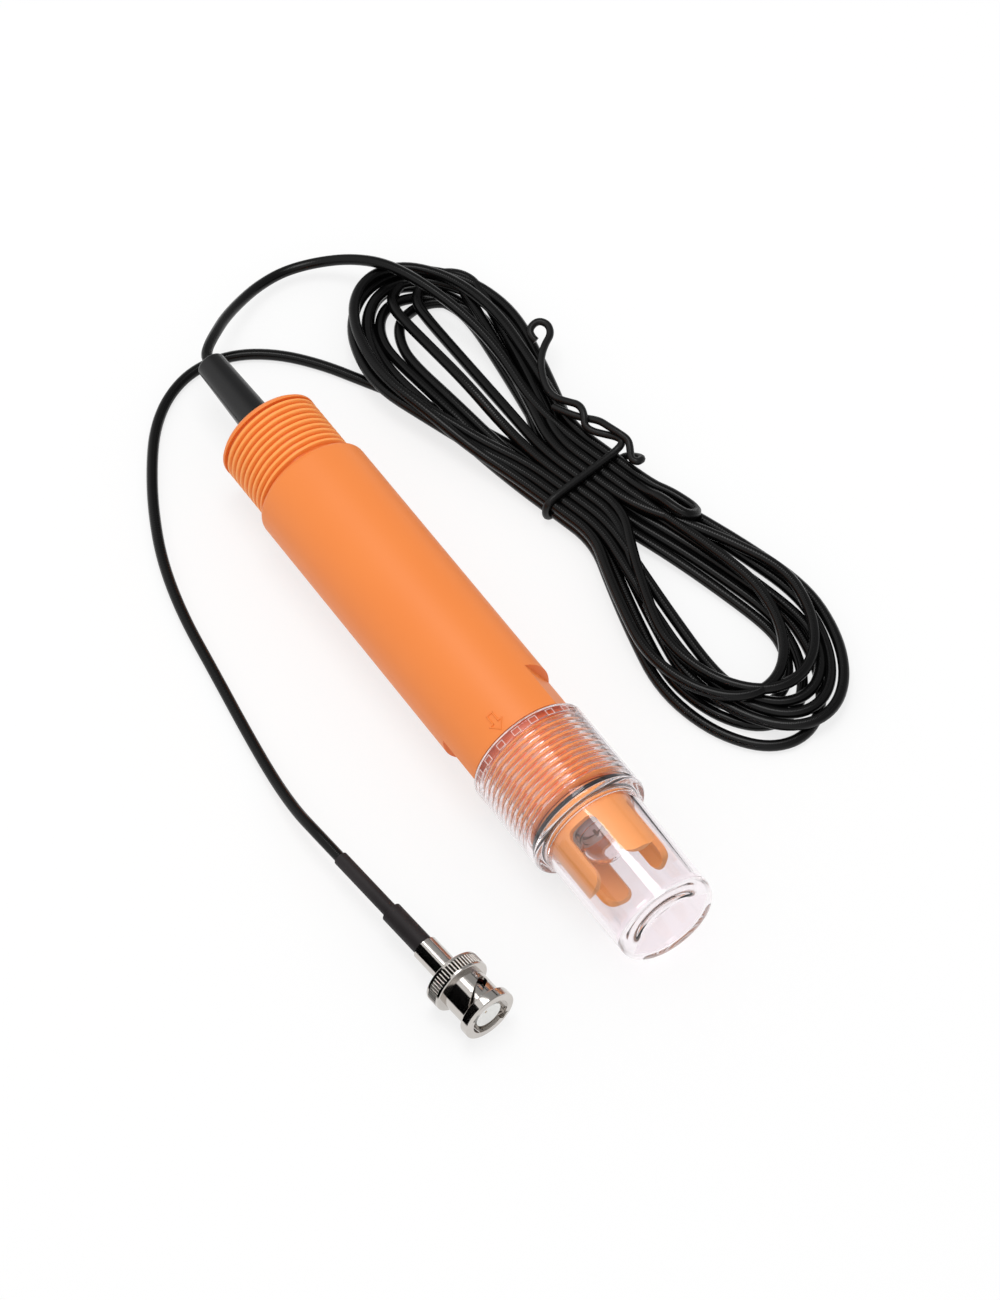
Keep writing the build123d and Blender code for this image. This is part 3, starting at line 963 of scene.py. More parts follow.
@dataclass
class ElectrodeBody:
    """The orange moulding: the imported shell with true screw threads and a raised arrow."""

    crest_radius: float = 13.3
    root_radius: float = 12.3
    seat_radius: float = 11.8
    pitch: float = 25.4 / 14
    cable_thread_length: float = 19.5
    first_land: float = 1.6
    last_land: float = 0.5
    land_overlap: float = 0.1
    process_thread_end_gap: float = 20.5
    process_thread_length: float = 21.5
    run_out: float = 0.9
    # Painted shade: the reliefs carry no ridge and take the full shade colour, which darkens the band at the
    # cap's mouth.
    cable_relief: float = 0.3
    process_relief: float = 1.9
    shell_drop: float = 0.2
    tolerance: float = 0.02
    barrel_radius: float = 15.0
    sides: int = 160
    rings_per_pitch: int = 12
    sharp_angle: float = 24.0
    arrow_station: float = 36.2
    arrow_turn: float = -27.0
    arrow_length: float = 4.7
    arrow_width: float = 3.5
    arrow_head: float = 0.45
    arrow_stem: float = 0.45
    arrow_line: float = 0.7
    arrow_line_top: float = 0.2
    arrow_rise: float = 0.22

    def __post_init__(self) -> None:
        """Reads the body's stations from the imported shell."""
        low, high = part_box("body_shell")
        self.axis_height = (low.z + high.z) / 2 / MM
        self.start = low.x / MM
        self.process_end = high.x / MM - self.process_thread_end_gap
        self.barrel_end = self.process_end - self.process_thread_length

    @property
    def depth(self) -> float:
        """Depth of the thread."""
        return self.crest_radius - self.root_radius

    def sizes(self, turn_start: float) -> dict[str, float]:
        """The screw thread's sizes in metres, for a ridge that is at the bottom at a station.

        Args:
            turn_start: That station.

        Returns:
            The sizes, named as the tree's inputs.
        """
        names = ("start", "pitch", "depth", "axis_height")
        sizes = (turn_start, self.pitch, self.depth, self.axis_height)
        return {name: size * MM for name, size in zip(names, sizes)}

    def shares(self, start: float, end: float, reliefs: Pair = (0.0, 0.0)) -> list[Pair]:
        """Stations along a thread, each with the share of the ridge that it carries.

        Args:
            start: The first station.
            end: The last station.
            reliefs: Lengths without a ridge at the two ends.

        Returns:
            Pairs of a station and its share.
        """
        first, last = start + reliefs[0], end - reliefs[1]
        count = round((end - start) / self.pitch * self.rings_per_pitch)
        pairs = []
        for index in range(count + 1):
            station = start + (end - start) * index / count
            share = min(1.0, (station - first) / self.run_out, (last - station) / self.run_out)
            pairs.append((station, max(0.0, share)))
        return pairs

    def thread(self, tree: ScrewThread, turn_start: float, start: float, end: float, reliefs: Pair) -> Piece:
        """Makes one screw thread as a closed sleeve that is set into the shell's wall.

        Args:
            tree: The tree that lifts the ridges.
            turn_start: A station where the ridge is at the bottom.
            start: Station of its first ring.
            end: Station of its last ring.
            reliefs: Lengths without a ridge at its two ends.

        Returns:
            The sleeve.
        """
        shares = self.shares(start, end, reliefs)
        rings = [Ring(start, self.seat_radius)]
        rings += [Ring(station, self.root_radius, share) for station, share in shares]
        rings.append(Ring(end, self.seat_radius))
        piece = turned_piece("thread_sleeve", rings, self.sides, self.axis_height)
        return tree.shape(piece, **self.sizes(turn_start))

    def cable_span(self) -> Pair:
        """Stations of the cable thread between its two lands."""
        return self.start + self.first_land, self.start + self.cable_thread_length - self.last_land

    def shell(self) -> Piece:
        """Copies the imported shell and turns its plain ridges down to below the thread's root.

        Returns:
            The copy.
        """
        shape = node_shape("body_shell")
        below_root = self.root_radius - self.shell_drop
        spans = (self.cable_span(), (self.barrel_end, self.process_end))
        slack = self.tolerance
        for vertex in shape.verts:
            station = vertex.co.x / MM
            across, up = vertex.co.y / MM, vertex.co.z / MM - self.axis_height
            radius = math.hypot(across, up)
            between = any(first + slack < station < last + slack for first, last in spans)
            if between and self.root_radius - slack < radius < self.crest_radius + slack:
                vertex.co.y = across * below_root / radius * MM
                vertex.co.z = (self.axis_height + up * below_root / radius) * MM
        return finished("shell", shape)

    def arrow(self) -> Piece:
        """Makes the raised outline of an arrow that points to the sensing tip.

        Returns:
            The arrow.
        """
        half, tip = self.arrow_width / 2, self.arrow_length / 2
        stem, neck = half * self.arrow_stem, tip - self.arrow_length * self.arrow_head
        upper = [(neck, half), (neck, stem), (-tip, stem)]
        outline = [(tip, 0), *upper, *((along, -across) for along, across in reversed(upper))]
        shape = bmesh.new()
        for first, second in zip(outline, outline[1:] + outline[:1]):
            self.add_line(shape, first, second)
        return finished("arrow", shape)

    def add_line(self, shape: bmesh.types.BMesh, first: Pair, second: Pair) -> None:
        """Adds one raised line of the arrow, wrapped on the barrel.

        Args:
            shape: The mesh that it is added to.
            first: Where it starts, along the barrel and round it.
            second: Where it ends.
        """
        start, end = Vector(first), Vector(second)
        walls = []
        for rise, width in ((-self.arrow_rise, self.arrow_line), (self.arrow_rise, self.arrow_line_top)):
            along = (end - start).normalized() * width / 2
            side = Vector((-along.y, along.x))
            radius = self.barrel_radius + rise
            corners = [start - along - side, end + along - side, end + along + side, start - along + side]
            loop = []
            for corner in corners:
                turn = math.radians(self.arrow_turn) + corner.y / self.barrel_radius
                across, up = radius * math.sin(turn), radius * math.cos(turn)
                place = (self.arrow_station + corner.x, across, self.axis_height + up)
                loop.append(shape.verts.new(Vector(place) * MM))
            walls.append(loop)
        inner, outer = walls
        faces = [shape.faces.new(inner), shape.faces.new(outer)]
        for index in range(4):
            after = (index + 1) % 4
            faces.append(shape.faces.new((inner[index], inner[after], outer[after], outer[index])))
        bmesh.ops.recalc_face_normals(shape, faces=faces)

    def build(self, finishes: Finishes, tree: ScrewThread) -> None:
        """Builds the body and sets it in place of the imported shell.

        Args:
            finishes: All the materials.
            tree: The tree that lifts the threads.
        """
        first, last = self.cable_span()
        first, last = first - self.land_overlap, last + self.land_overlap
        process = (self.barrel_end, self.process_end)
        pieces = [
            self.thread(tree, self.start, first, last, (0.0, self.cable_relief)),
            self.thread(tree, self.barrel_end, *process, (self.process_relief, 0.0)),
            self.shell(),
            self.arrow(),
        ]
        body = join("electrode_body", pieces, finishes[Slot.ORANGE_MOULDING])
        soften(body.data, self.sharp_angle)
        settle(body, Body.ELECTRODE, Slot.ORANGE_MOULDING, "body_shell")


@dataclass
class SensingStem:
    """The pale fill in the glass stem as far as its bulb: the stem holds a buffer, and the fill's near-white
    colour is painted light that stands for light coming through the bulb.
    """

    gel_start: float = 40.0
    gel_radius: float = 3.6
    gel_round: float = 2.4
    bulb_gap: float = 3.6
    sides: int = 48
    sharp_angle: float = 40.0

    def build(self, finishes: Finishes) -> None:
        """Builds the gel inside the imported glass.

        Args:
            finishes: All the materials.
        """
        low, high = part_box("glass_stem")
        bulb_middle = high.x / MM - (high.z - low.z) / 2 / MM
        end = bulb_middle - self.bulb_gap
        rings = [Ring(self.gel_start, 0.0), Ring(self.gel_start, self.gel_radius)]
        rings += arc(end - self.gel_round, self.gel_radius - self.gel_round, self.gel_round, 90, 0, 8)
        rings.append(Ring(end, 0.0))
        gel = turned_piece("buffer_light_fill", rings, self.sides, (low.z + high.z) / 2 / MM)
        gel.data.materials.append(finishes.buffer_light_fill)
        soften(gel.data, self.sharp_angle)
        settle(gel, Body.ELECTRODE, Slot.CLEAR_GLASS)


@dataclass
class ProtectiveCap:
    """The clear moulding: a collar with an inside thread, and a cup over the guard."""

    collar_length: float = 25.5
    collar_round: float = 0.9
    mouth_round: float = 0.4
    cup_radius: float = 12.9
    cup_end_radius: float = 12.55
    cup_wall: float = 1.35
    cup_floor: float = 3.4
    cup_outer_round: float = 3.2
    cup_inner_round: float = 1.8
    thread_gap: float = 0.25
    thread_start: float = 1.2
    thread_end_gap: float = 4.4
    seat_wall: float = 1.7
    seat_round: float = 0.3
    neck_length: float = 2.4
    neck_radius: float = 12.1
    sides: int = 192
    sharp_angle: float = 50.0
    notch_count: int = 20
    notch_station: float = 1.75
    notch_width: float = 1.9
    notch_length: float = 1.5
    notch_bead: float = 0.16
    notch_sharp_angle: float = 40.0

    def __post_init__(self) -> None:
        """Reads the cap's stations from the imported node."""
        low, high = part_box("protective_cap")
        self.axis_height = (low.z + high.z) / 2 / MM
        self.collar_radius = (high.z - low.z) / 2 / MM
        self.mouth = low.x / MM
        self.end = high.x / MM

    def outside(self) -> list[Ring]:
        """Outline from the middle of the cup's end to the collar's mouth.

        Returns:
            The rings in order.
        """
        collar_end = self.mouth + self.collar_length
        big, lip, mouth = self.cup_outer_round, self.collar_round, self.mouth_round
        rings = [Ring(self.end, 0.0)]
        rings += arc(self.end - big, self.cup_end_radius - big, big, 0, 90, 10)
        rings += arc(collar_end + mouth, self.cup_radius + mouth, mouth, 270, 180, 5)
        rings += arc(collar_end - lip, self.collar_radius - lip, lip, 0, 90)
        rings += arc(self.mouth + mouth, self.collar_radius - mouth, mouth, 90, 180, 5)
        return rings

    def bore(self, body: ElectrodeBody) -> list[Ring]:
        """Outline of the collar's bore, whose thread follows the body's at a small gap.

        Args:
            body: The body that the cap screws onto.

        Returns:
            The rings in order.
        """
        major = body.crest_radius + self.thread_gap
        start = self.mouth + self.thread_start
        end = self.mouth + self.collar_length - self.thread_end_gap
        rings = arc(self.mouth + self.mouth_round, major + self.mouth_round, self.mouth_round, 180, 270, 5)
        for station, share in body.shares(start, end):
            rings.append(Ring(station, major - body.depth * share, share))
        return rings

    def inside(self, body: ElectrodeBody) -> list[Ring]:
        """Outline from the seal's seat to the middle of the cup's floor.

        Args:
            body: The body that the cap screws onto.

        Returns:
            The rings in order.
        """
        major = body.crest_radius + self.thread_gap
        seat = self.mouth + self.collar_length - self.seat_wall
        neck_end = seat + self.neck_length
        floor = self.end - self.cup_floor
        edge, small = self.seat_round, self.cup_inner_round
        rings = arc(seat - edge, major - edge, edge, 90, 0, 4)
        rings += arc(seat + edge, self.neck_radius + edge, edge, 180, 270, 4)
        rings += arc(neck_end - edge, self.neck_radius - edge, edge, 90, 0, 4)
        rings += arc(neck_end + edge / 2, self.cup_radius - self.cup_wall + edge / 2, edge / 2, 180, 270, 4)
        rings += arc(floor - small, self.cup_end_radius - self.cup_wall - small, small, 90, 0, 8)
        rings.append(Ring(floor, 0.0))
        return rings

    def build(self, finishes: Finishes, tree: ScrewThread, body: ElectrodeBody) -> None:
        """Builds the cap and its ring of notches.

        Args:
            finishes: All the materials.
            tree: The tree that lifts the threads.
            body: The body that the cap screws onto.
        """
        finish = finishes[Slot.CLEAR_MOULDING]
        rings = supported(self.outside()) + self.bore(body) + supported(self.inside(body))
        cap = turned_piece("clear_cap", rings, self.sides, self.axis_height)
        tree.shape(cap, finish=finish, **body.sizes(body.barrel_end))
        soften(cap.data, self.sharp_angle)
        settle(cap, Body.CAP, Slot.CLEAR_MOULDING, "protective_cap")

        # The notch outlines carry a painted highlight in their pale colour.
        notches = NotchRing().shape(
            new_piece("cap_notches", bpy.data.meshes.new("cap_notches")),
            count=self.notch_count,
            ring_radius=(self.collar_radius - self.notch_bead) * MM,
            notch_width=self.notch_width * MM,
            notch_length=self.notch_length * MM,
            bead_radius=self.notch_bead * MM,
            finish=finishes.notch_edge_highlight,
        )
        place = Vector((self.mouth + self.notch_station, 0, self.axis_height)) * MM
        notches.data.transform(Matrix.Translation(place))
        soften(notches.data, self.notch_sharp_angle)
        settle(notches, Body.CAP, Slot.CLEAR_MOULDING)


@dataclass(frozen=True)
class HankTurn:
    """One turn of the hank: a loop to the left of the tie, then one to the right.

    Attributes:
        left: Upper and lower side and reach of the left loop, seen from above.
        right: Lower and upper side and reach of the right loop.
        layers: Layer that each loop lies in, counted from the floor.
        low: Column and row of its lower pass through the tie.
        up: Column and row of its upper pass.
    """

    left: tuple[float, float, float]
    right: tuple[float, float, float]
    layers: tuple[int, int]
    low: tuple[int, int]
    up: tuple[int, int]


@dataclass
class Hank:
    """The tied bundle: turns that differ in size and fan out on both sides of the tie."""

    tie_centre: Pair = (-22.4, 59.4)
    tie_angle: float = 13.0
    waist_reach: float = 13.0
    column_pitch: float = 2.6
    row_heights: Pair = (2.95, 5.65)
    floor_height: float = 1.4
    layer_pitch: float = 2.75
    end_share: float = 0.42
    end_radius: float = 9.5
    end_angles: tuple[int, ...] = (90, 60, 32, 8, -16, -40, -64, -90)
    swing_lead: float = 0.3
    long_run: float = 50.0
    long_shares: tuple[float, ...] = (0.24, 0.5, 0.76)
    short_shares: tuple[float, ...] = (0.3, 0.62)
    tail_station: float = -74.0
    tail_lift: float = 2.8
    tail_span: float = 22.0
    tail_power: int = 6
    lower_half: float = 52.0
    turns: tuple[HankTurn, ...] = (
        HankTurn((71.0, 35.0, -104.4), (42.0, 75.8, 53.0), (2, 2), (-4, 1), (2, 1)),
        HankTurn((73.0, 56.6, -97.0), (47.6, 84.0, 55.0), (1, 2), (0, 1), (1, 1)),
        HankTurn((69.5, 50.3, -100.0), (47.0, 86.2, 66.0), (1, 1), (-1, 1), (4, 0)),
        HankTurn((75.8, 33.2, -103.8), (50.0, 83.2, 62.4), (1, 1), (-3, 1), (3, 0)),
        HankTurn((73.2, 36.4, -100.4), (53.2, 80.0, 58.4), (1, 1), (-2, 1), (2, 0)),
        HankTurn((69.6, 39.6, -101.4), (41.0, 79.0, 66.4), (0, 0), (-4, 0), (1, 0)),
        HankTurn((66.6, 42.6, -97.0), (44.4, 76.0, 60.0), (0, 0), (-3, 0), (0, 0)),
        HankTurn((70.0, 45.6, -93.0), (47.6, 73.2, 54.0), (0, 0), (-2, 0), (-1, 0)),
    )

    def at_tie(self, along: float, across: float, height: float) -> Vector:
        """A point near the tie, counted along and across the bundle from its middle.

        Args:
            along: Distance along the bundle.
            across: Distance across it.
            height: Height above the floor.

        Returns:
            The point.
        """
        turn = math.radians(self.tie_angle)
        forward = Vector((math.cos(turn), math.sin(turn), 0))
        sideways = Vector((-math.sin(turn), math.cos(turn), 0))
        return Vector((*self.tie_centre, height)) + forward * along + sideways * across

    def place(self, slot: tuple[float, int], along: float) -> Vector:
        """A pass's point at the tie, for its column and row."""
        column, row = slot
        return self.at_tie(along, column * self.column_pitch, self.row_heights[row])

    def straight(self, slot: tuple[float, int], rightwards: bool) -> list[Vector]:
        """A pass's three points through the tie."""
        reach = self.waist_reach if rightwards else -self.waist_reach
        return [self.place(slot, along) for along in (-reach, 0.0, reach)]

    def loop(self, start: Vector, end: Vector, sides: Pair, reach: float, layer: int) -> list[Vector]:
        """Points round one loop, between two passes through the tie.

        Args:
            start: Where the cord leaves the tie.
            end: Where it comes back.
            sides: The loop's two sides, in the order that the cord follows them.
            reach: How far it goes.
            layer: The layer that it lies in.

        Returns:
            The points between the two passes.
        """
        height = self.floor_height + self.layer_pitch * layer
        middle, half = (sides[0] + sides[1]) / 2, (sides[0] - sides[1]) / 2
        round_length = max(abs(half), half * half / self.end_radius)

        def knee(tied: Vector) -> float:
            """Where the loop's round end starts."""
            length = min(self.end_share * abs(reach - tied.x), round_length)
            return reach - math.copysign(length, reach)

        def run(tied: Vector, side: float, share: float) -> Vector:
            """A point on the way from the tie to the round end.

            Args:
                tied: The point at the tie.
                side: The side that the cord swings to.
                share: How far along it is, from 0 to 1.

            Returns:
                The point.
            """
            swing = share * (1 + self.swing_lead * (1 - share))
            rise = share * share * (3 - 2 * share)
            x = tied.x + share * (knee(tied) - tied.x)
            return Vector((x, tied.y + swing * (side - tied.y), tied.z + rise * (height - tied.z)))

        is_long = abs(knee(start) - start.x) > self.long_run
        shares = self.long_shares if is_long else self.short_shares
        points = [run(start, sides[0], share) for share in shares]
        for angle in self.end_angles:
            turn = math.radians(angle)
            base = knee(start) + (knee(end) - knee(start)) * (90 - angle) / 180
            x = base + (reach - base) * math.cos(turn)
            points.append(Vector((x, middle + half * math.sin(turn), height)))
        points += [run(end, sides[1], share) for share in reversed(shares)]
        for point in points:
            if reach < 0 and point.y < self.lower_half:
                from_tail = (point.x - self.tail_station) / self.tail_span
                point.z += self.tail_lift / (1 + from_tail ** self.tail_power)
        return points

    def route(self, came_from: Vector) -> list[Vector]:
        """All the turns, from the point where the cord last left the tie on its left.

        Args:
            came_from: That point.

        Returns:
            The points in order.
        """
        points = []
        for turn in self.turns:
            low = self.straight(turn.low, rightwards=True)
            up = self.straight(turn.up, rightwards=False)
            points += self.loop(came_from, low[0], turn.left[:2], turn.left[2], turn.layers[0]) + low
            points += self.loop(low[-1], up[0], turn.right[:2], turn.right[2], turn.layers[1]) + up
            came_from = up[-1]
        return points


@dataclass
class LeadCord:
    """The thin coaxial lead: out of the boot, into the hank, round to the plug."""

    radius: float = 1.4
    length: float = 3300.0
    inside_boot: float = 6.0
    first_slot: tuple[float, int] = (3, 1)
    fold_slot: tuple[float, int] = (4, 1)
    hank: Hank = field(default_factory=Hank)
    lead_route: tuple[Point, ...] = (
        (-100.4, 0.5, 15.5), (-103.0, 2.9, 15.0), (-106.4, 7.0, 13.4), (-110.8, 12.4, 10.8),
        (-115.2, 19.4, 7.6), (-118.6, 27.2, 5.2), (-119.6, 35.4, 4.2), (-116.8, 43.4, 5.0),
        (-110.8, 50.0, 8.0), (-103.0, 55.0, 10.6), (-93.5, 59.0, 10.6), (-80.0, 63.0, 9.0),
        (-66.0, 64.4, 7.4), (-50.0, 62.6, 6.0),
    )
    fold_route: tuple[Point, ...] = (
        (-6.5, 70.8, 8.2), (-1.0, 71.9, 8.4), (1.2, 73.2, 7.8), (1.7, 75.4, 6.5),
        (0.3, 77.1, 5.1), (-2.2, 77.3, 4.5), (-8.0, 75.2, 5.0),
    )
    tail_start: tuple[Point, ...] = ((-42.0, 53.0, 2.0), (-56.0, 47.6, 1.5), (-65.0, 43.0, 1.4))
    tail_route: tuple[Point, ...] = (
        (-72.0, 39.0, 1.4), (-81.0, 33.8, 1.4), (-91.0, 28.2, 1.4), (-100.2, 20.8, 1.4),
        (-106.4, 11.6, 1.4), (-108.0, 1.2, 1.4), (-104.8, -8.4, 1.4), (-98.0, -16.8, 1.4),
        (-88.4, -23.8, 1.4), (-76.8, -30.6, 1.4), (-62.8, -36.9, 1.4), (-46.4, -41.3, 1.4),
        (-28.4, -43.9, 1.4), (-9.6, -46.8, 1.4), (5.6, -49.0, 2.4), (17.6, -50.4, 5.2),
    )
    sleeve_stations: tuple[float, ...] = (-65.0, -57.0, -45.0, -36.0)

    def exit(self) -> Vector:
        """Where the cord leaves the boot."""
        low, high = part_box("strain_relief")
        return Vector((low.x, (low.y + high.y) / 2, (low.z + high.z) / 2)) / MM

    def route(self, plug: "BayonetPlug") -> list[Vector]:
        """The whole route, from inside the boot to inside the plug's sleeve.

        Args:
            plug: The plug that it ends in.

        Returns:
            The points in order.
        """
        exit_point = self.exit()
        points = [exit_point + Vector((self.inside_boot, 0, 0)), exit_point]
        points += vectors(self.lead_route)
        points += self.hank.straight(self.first_slot, rightwards=True)
        points += vectors(self.fold_route)
        points += self.hank.straight(self.fold_slot, rightwards=False)
        points += self.hank.route(points[-1])
        points += vectors(self.tail_start + self.tail_route)
        return points + [plug.on_axis(station) for station in self.sleeve_stations]

    def build(self, finishes: Finishes, plug: "BayonetPlug", with_pieces: list) -> None:
        """Args:
            finishes: All the materials.
            plug: The plug that it ends in.
            with_pieces: Nodes and objects that go where the cord goes; not used.
        """
        cord = curve_piece("lead_cord", self.route(plug), self.radius, finishes[Slot.CORD_JACKET])
        settle(cord, Body.ELECTRODE, Slot.CORD_JACKET, "cable_lead", "cable_hank", "cable_tail")
        tuple(self.exit() * MM)
        2 * self.radius * MM


@dataclass
class TwistTie:
    """The wire tie: an eyelet, a twisted pair, a band round the hank, and the way back through the pair.

    The band's points are counted across the bundle and up from the floor.
    """

    radius: float = 0.95
    slant: float = 0.09
    band: tuple[Pair, ...] = (
        (11.5, 8.3), (6.35, 8.0), (0.0, 8.0), (-6.35, 8.0), (-11.7, 7.6), (-12.7, 4.475),
        (-11.7, 1.15), (-6.35, 0.95), (0.0, 0.95), (6.35, 0.95), (11.7, 1.15), (12.9, 4.475),
    )
    way_in: tuple[Point, ...] = (
        (-62.6, 73.1, 8.6), (-64.3, 72.6, 9.2), (-66.2, 73.7, 9.8), (-66.6, 76.5, 10.2),
        (-64.2, 77.9, 10.2), (-61.4, 76.8, 10.0), (-59.8, 73.9, 9.8), (-57.4, 71.0, 9.6),
        (-53.9, 68.6, 9.4), (-49.4, 66.7, 9.3), (-45.4, 66.3, 9.4), (-42.1, 67.9, 10.0),
        (-39.0, 69.7, 10.8), (-35.8, 69.0, 10.8), (-33.8, 67.5, 9.6), (-31.6, 68.3, 9.0),
        (-28.8, 70.4, 9.2), (-26.2, 72.2, 9.6), (-24.2, 72.4, 9.8),
    )
    way_out: tuple[Point, ...] = (
        (-19.0, 73.9, 8.2), (-17.4, 73.4, 9.4), (-17.2, 71.6, 9.8), (-19.0, 71.0, 9.8),
        (-21.2, 72.4, 10.2), (-23.4, 73.4, 10.8), (-25.9, 72.4, 11.4), (-28.9, 71.6, 11.2),
        (-32.6, 71.0, 10.4), (-36.2, 68.8, 9.0), (-40.0, 66.4, 8.8), (-43.6, 65.0, 8.4),
    )

    def build(self, finishes: Finishes, hank: Hank) -> Piece:
        """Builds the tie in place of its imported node.

        Args:
            finishes: All the materials.
            hank: The hank that it holds.

        Returns:
            The tie.
        """
        route = vectors(self.way_in)
        route += [hank.at_tie(across * self.slant, across, height) for across, height in self.band]
        route += vectors(self.way_out)
        tie = curve_piece("twist_tie", route, self.radius, finishes[Slot.TIE_JACKET])
        return settle(tie, Body.ELECTRODE, Slot.TIE_JACKET, "cable_tie")


@dataclass
class BayonetPlug:
    """The plug at the lead's far end, with its knurled coupling nut."""

    front: Point = (90.0, -44.9, 7.35)
    angle: float = 5.0
    knurl_radius: float = 7.35
    knurl_floor: float = 6.95
    knurl_span: Pair = (-13.4, -10.75)
    knurl_step: float = 0.03
    ridge_count: int = 52
    ridge_radius: float = 0.33
    dish_rear: float = -9.0
    dish_front: float = -0.6
    dish_radius: float = 3.52
    dish_rim: float = 3.05
    dish_depth: float = 1.0
    dish_hole: float = 0.38
    dish_edge: float = 0.15
    contact_radius: float = 0.3
    contact_drop: float = 0.1
    washer_keep: float = 0.25
    sides: int = 64
    sharp_angle: float = 35.0
    nut_sharp_angle: float = 25.0
    ridge_sharp_angle: float = 60.0
    nodes: tuple[str, ...] = (
        "connector_body",
        "connector_insulator",
        "connector_pin",
        "connector_gasket",
        "coupling_nut",
        "thrust_washer",
        "spring_washer",
        "crimp_ferrule",
        "connector_boot",
        "cable_sleeve",
    )

    def matrix(self) -> Matrix:
        """Moves a shape built about X, with its front face at the origin, to the plug's place."""
        turn = Matrix.Rotation(math.radians(self.angle), 4, "Z")
        return Matrix.Translation(Vector(self.front) * MM) @ turn

    def on_axis(self, station: float) -> Vector:
        """A point on the plug's axis, counted forward from its front face."""
        turn = math.radians(self.angle)
        return Vector(self.front) + Vector((math.cos(turn), math.sin(turn), 0)) * station

    def nut(self, finishes: Finishes) -> Piece:
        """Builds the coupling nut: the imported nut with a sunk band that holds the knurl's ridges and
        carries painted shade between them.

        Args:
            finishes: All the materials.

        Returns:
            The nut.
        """
        shape = node_shape("coupling_nut")
        bmesh.ops.transform(shape, matrix=self.matrix().inverted(), verts=shape.verts)
        # Painted shade: the sunk band between the knurl's ridges is marked to take the dark colour.
        painted_groove_shade = shape.verts.layers.float.new(ScrewThread.PAINTED_GROOVE_SHADE)
        first, last = self.knurl_span
        step = self.knurl_step
        for station in (first, first + step, last - step, last):
            geometry = [*shape.verts, *shape.edges, *shape.faces]
            bmesh.ops.bisect_plane(shape, geom=geometry, plane_co=(station * MM, 0, 0), plane_no=(1, 0, 0))
        for vertex in shape.verts:
            radius = math.hypot(vertex.co.y, vertex.co.z) / MM
            if first + step / 2 < vertex.co.x / MM < last - step / 2 and radius > self.knurl_floor:
                vertex.co.yz = vertex.co.yz * (self.knurl_floor / radius)
                vertex[painted_groove_shade] = 1.0
        ridges = KnurlRing().shape(
            new_piece("ridges", bpy.data.meshes.new("ridges")),
            count=self.ridge_count,
            ring_radius=(self.knurl_radius - self.ridge_radius) * MM,
            ridge_radius=self.ridge_radius * MM,
            ridge_length=(last - first) * MM,
        )
        ridges.data.transform(Matrix.Translation(((first + last) / 2 * MM, 0, 0)))
        plain = finished("nut", shape)
        soften(plain.data, self.nut_sharp_angle)
        soften(ridges.data, self.ridge_sharp_angle)
        nut = join("knurled_nut", [plain, ridges], finishes[Slot.NICKEL_PLATE])
        nut.data.transform(self.matrix())
        return settle(nut, Body.NUT, Slot.NICKEL_PLATE, "coupling_nut")

    def turned(self, name: str, rings: Sequence[Ring], slot: Slot, finishes: Finishes, node: str) -> Piece:
        """Makes a piece turned about the plug's axis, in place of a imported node.

        Args:
            name: Name of the object.
            rings: Its outline, with stations counted from the plug's front face.
            slot: Its material slot.
            finishes: All the materials.
            node: The node that it stands for.

        Returns:
            The object.
        """
        piece = turned_piece(name, rings, self.sides, 0.0)
        piece.data.transform(self.matrix())
        piece.data.materials.append(finishes[slot])
        soften(piece.data, self.sharp_angle)
        return settle(piece, Body.ELECTRODE, slot, node)

    def centre(self, finishes: Finishes) -> list[Piece]:
        """Builds the dished insulator and the contact at the bottom of its dish.

        Args:
            finishes: All the materials.

        Returns:
            The insulator and the contact.
        """
        bottom = self.dish_front - self.dish_depth
        edge, tip = self.dish_edge, bottom - self.contact_drop
        dish = [Ring(self.dish_rear, self.dish_hole), Ring(self.dish_rear, self.dish_radius)]
        dish += arc(self.dish_front - edge, self.dish_radius - edge, edge, 90, 0, 4)
        dish += [Ring(self.dish_front, self.dish_rim), Ring(bottom, self.dish_hole)]
        contact = [Ring(self.dish_rear, 0.0), Ring(self.dish_rear, self.contact_radius)]
        contact += arc(tip - self.contact_radius, 0.0, self.contact_radius, 90, 5, 4)
        contact.append(Ring(tip, 0.0))
        return [
            self.turned("insulator_dish", dish, Slot.WHITE_INSULATOR, finishes, "connector_insulator"),
            self.turned("centre_contact", contact, Slot.GOLD_CONTACT, finishes, "connector_pin"),
        ]

    def washer(self, finishes: Finishes) -> Piece:
        """Builds the curved washer as a copy of the imported node; on the real plug it flattens against its
        flange as the nut draws forward.

        Args:
            finishes: All the materials.

        Returns:
            The washer.
        """
        washer = finished("curved_washer", node_shape("spring_washer"))
        washer.data.materials.append(finishes[Slot.SPRING_STEEL])
        soften(washer.data, self.sharp_angle)
        settle(washer, Body.ELECTRODE, Slot.SPRING_STEEL, "spring_washer")
        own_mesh(washer)
        return washer

    def build(self, finishes: Finishes) -> list[Piece]:
        """Builds the plug's own pieces and gives them back."""
        return [self.nut(finishes), self.washer(finishes), *self.centre(finishes)]


@dataclass(frozen=True)
class Card:
    """A black card beside the object, which shows only in gloss.

    Attributes:
        name: Name of the object.
        place: Its middle.
        size: Its length along X and its other side.
        facing: The direction that it faces.
    """

    name: str
    place: Point
    size: Pair
    facing: Point

    def build(self, finish: bpy.types.Material) -> None:
        """Stands the card in its place.

        Args:
            finish: The card's material.
        """
        normal = Vector(self.facing).normalized()
        long, wide = (size / 2 * MM for size in self.size)
        length = Vector((long, 0, 0))
        width = normal.cross(length.normalized()) * wide
        card = flat_piece(self.name, Vector(self.place) * MM, length, width, finish)
        for ray in ("camera", "diffuse", "shadow", "transmission"):
            setattr(card, f"visible_{ray}", False)


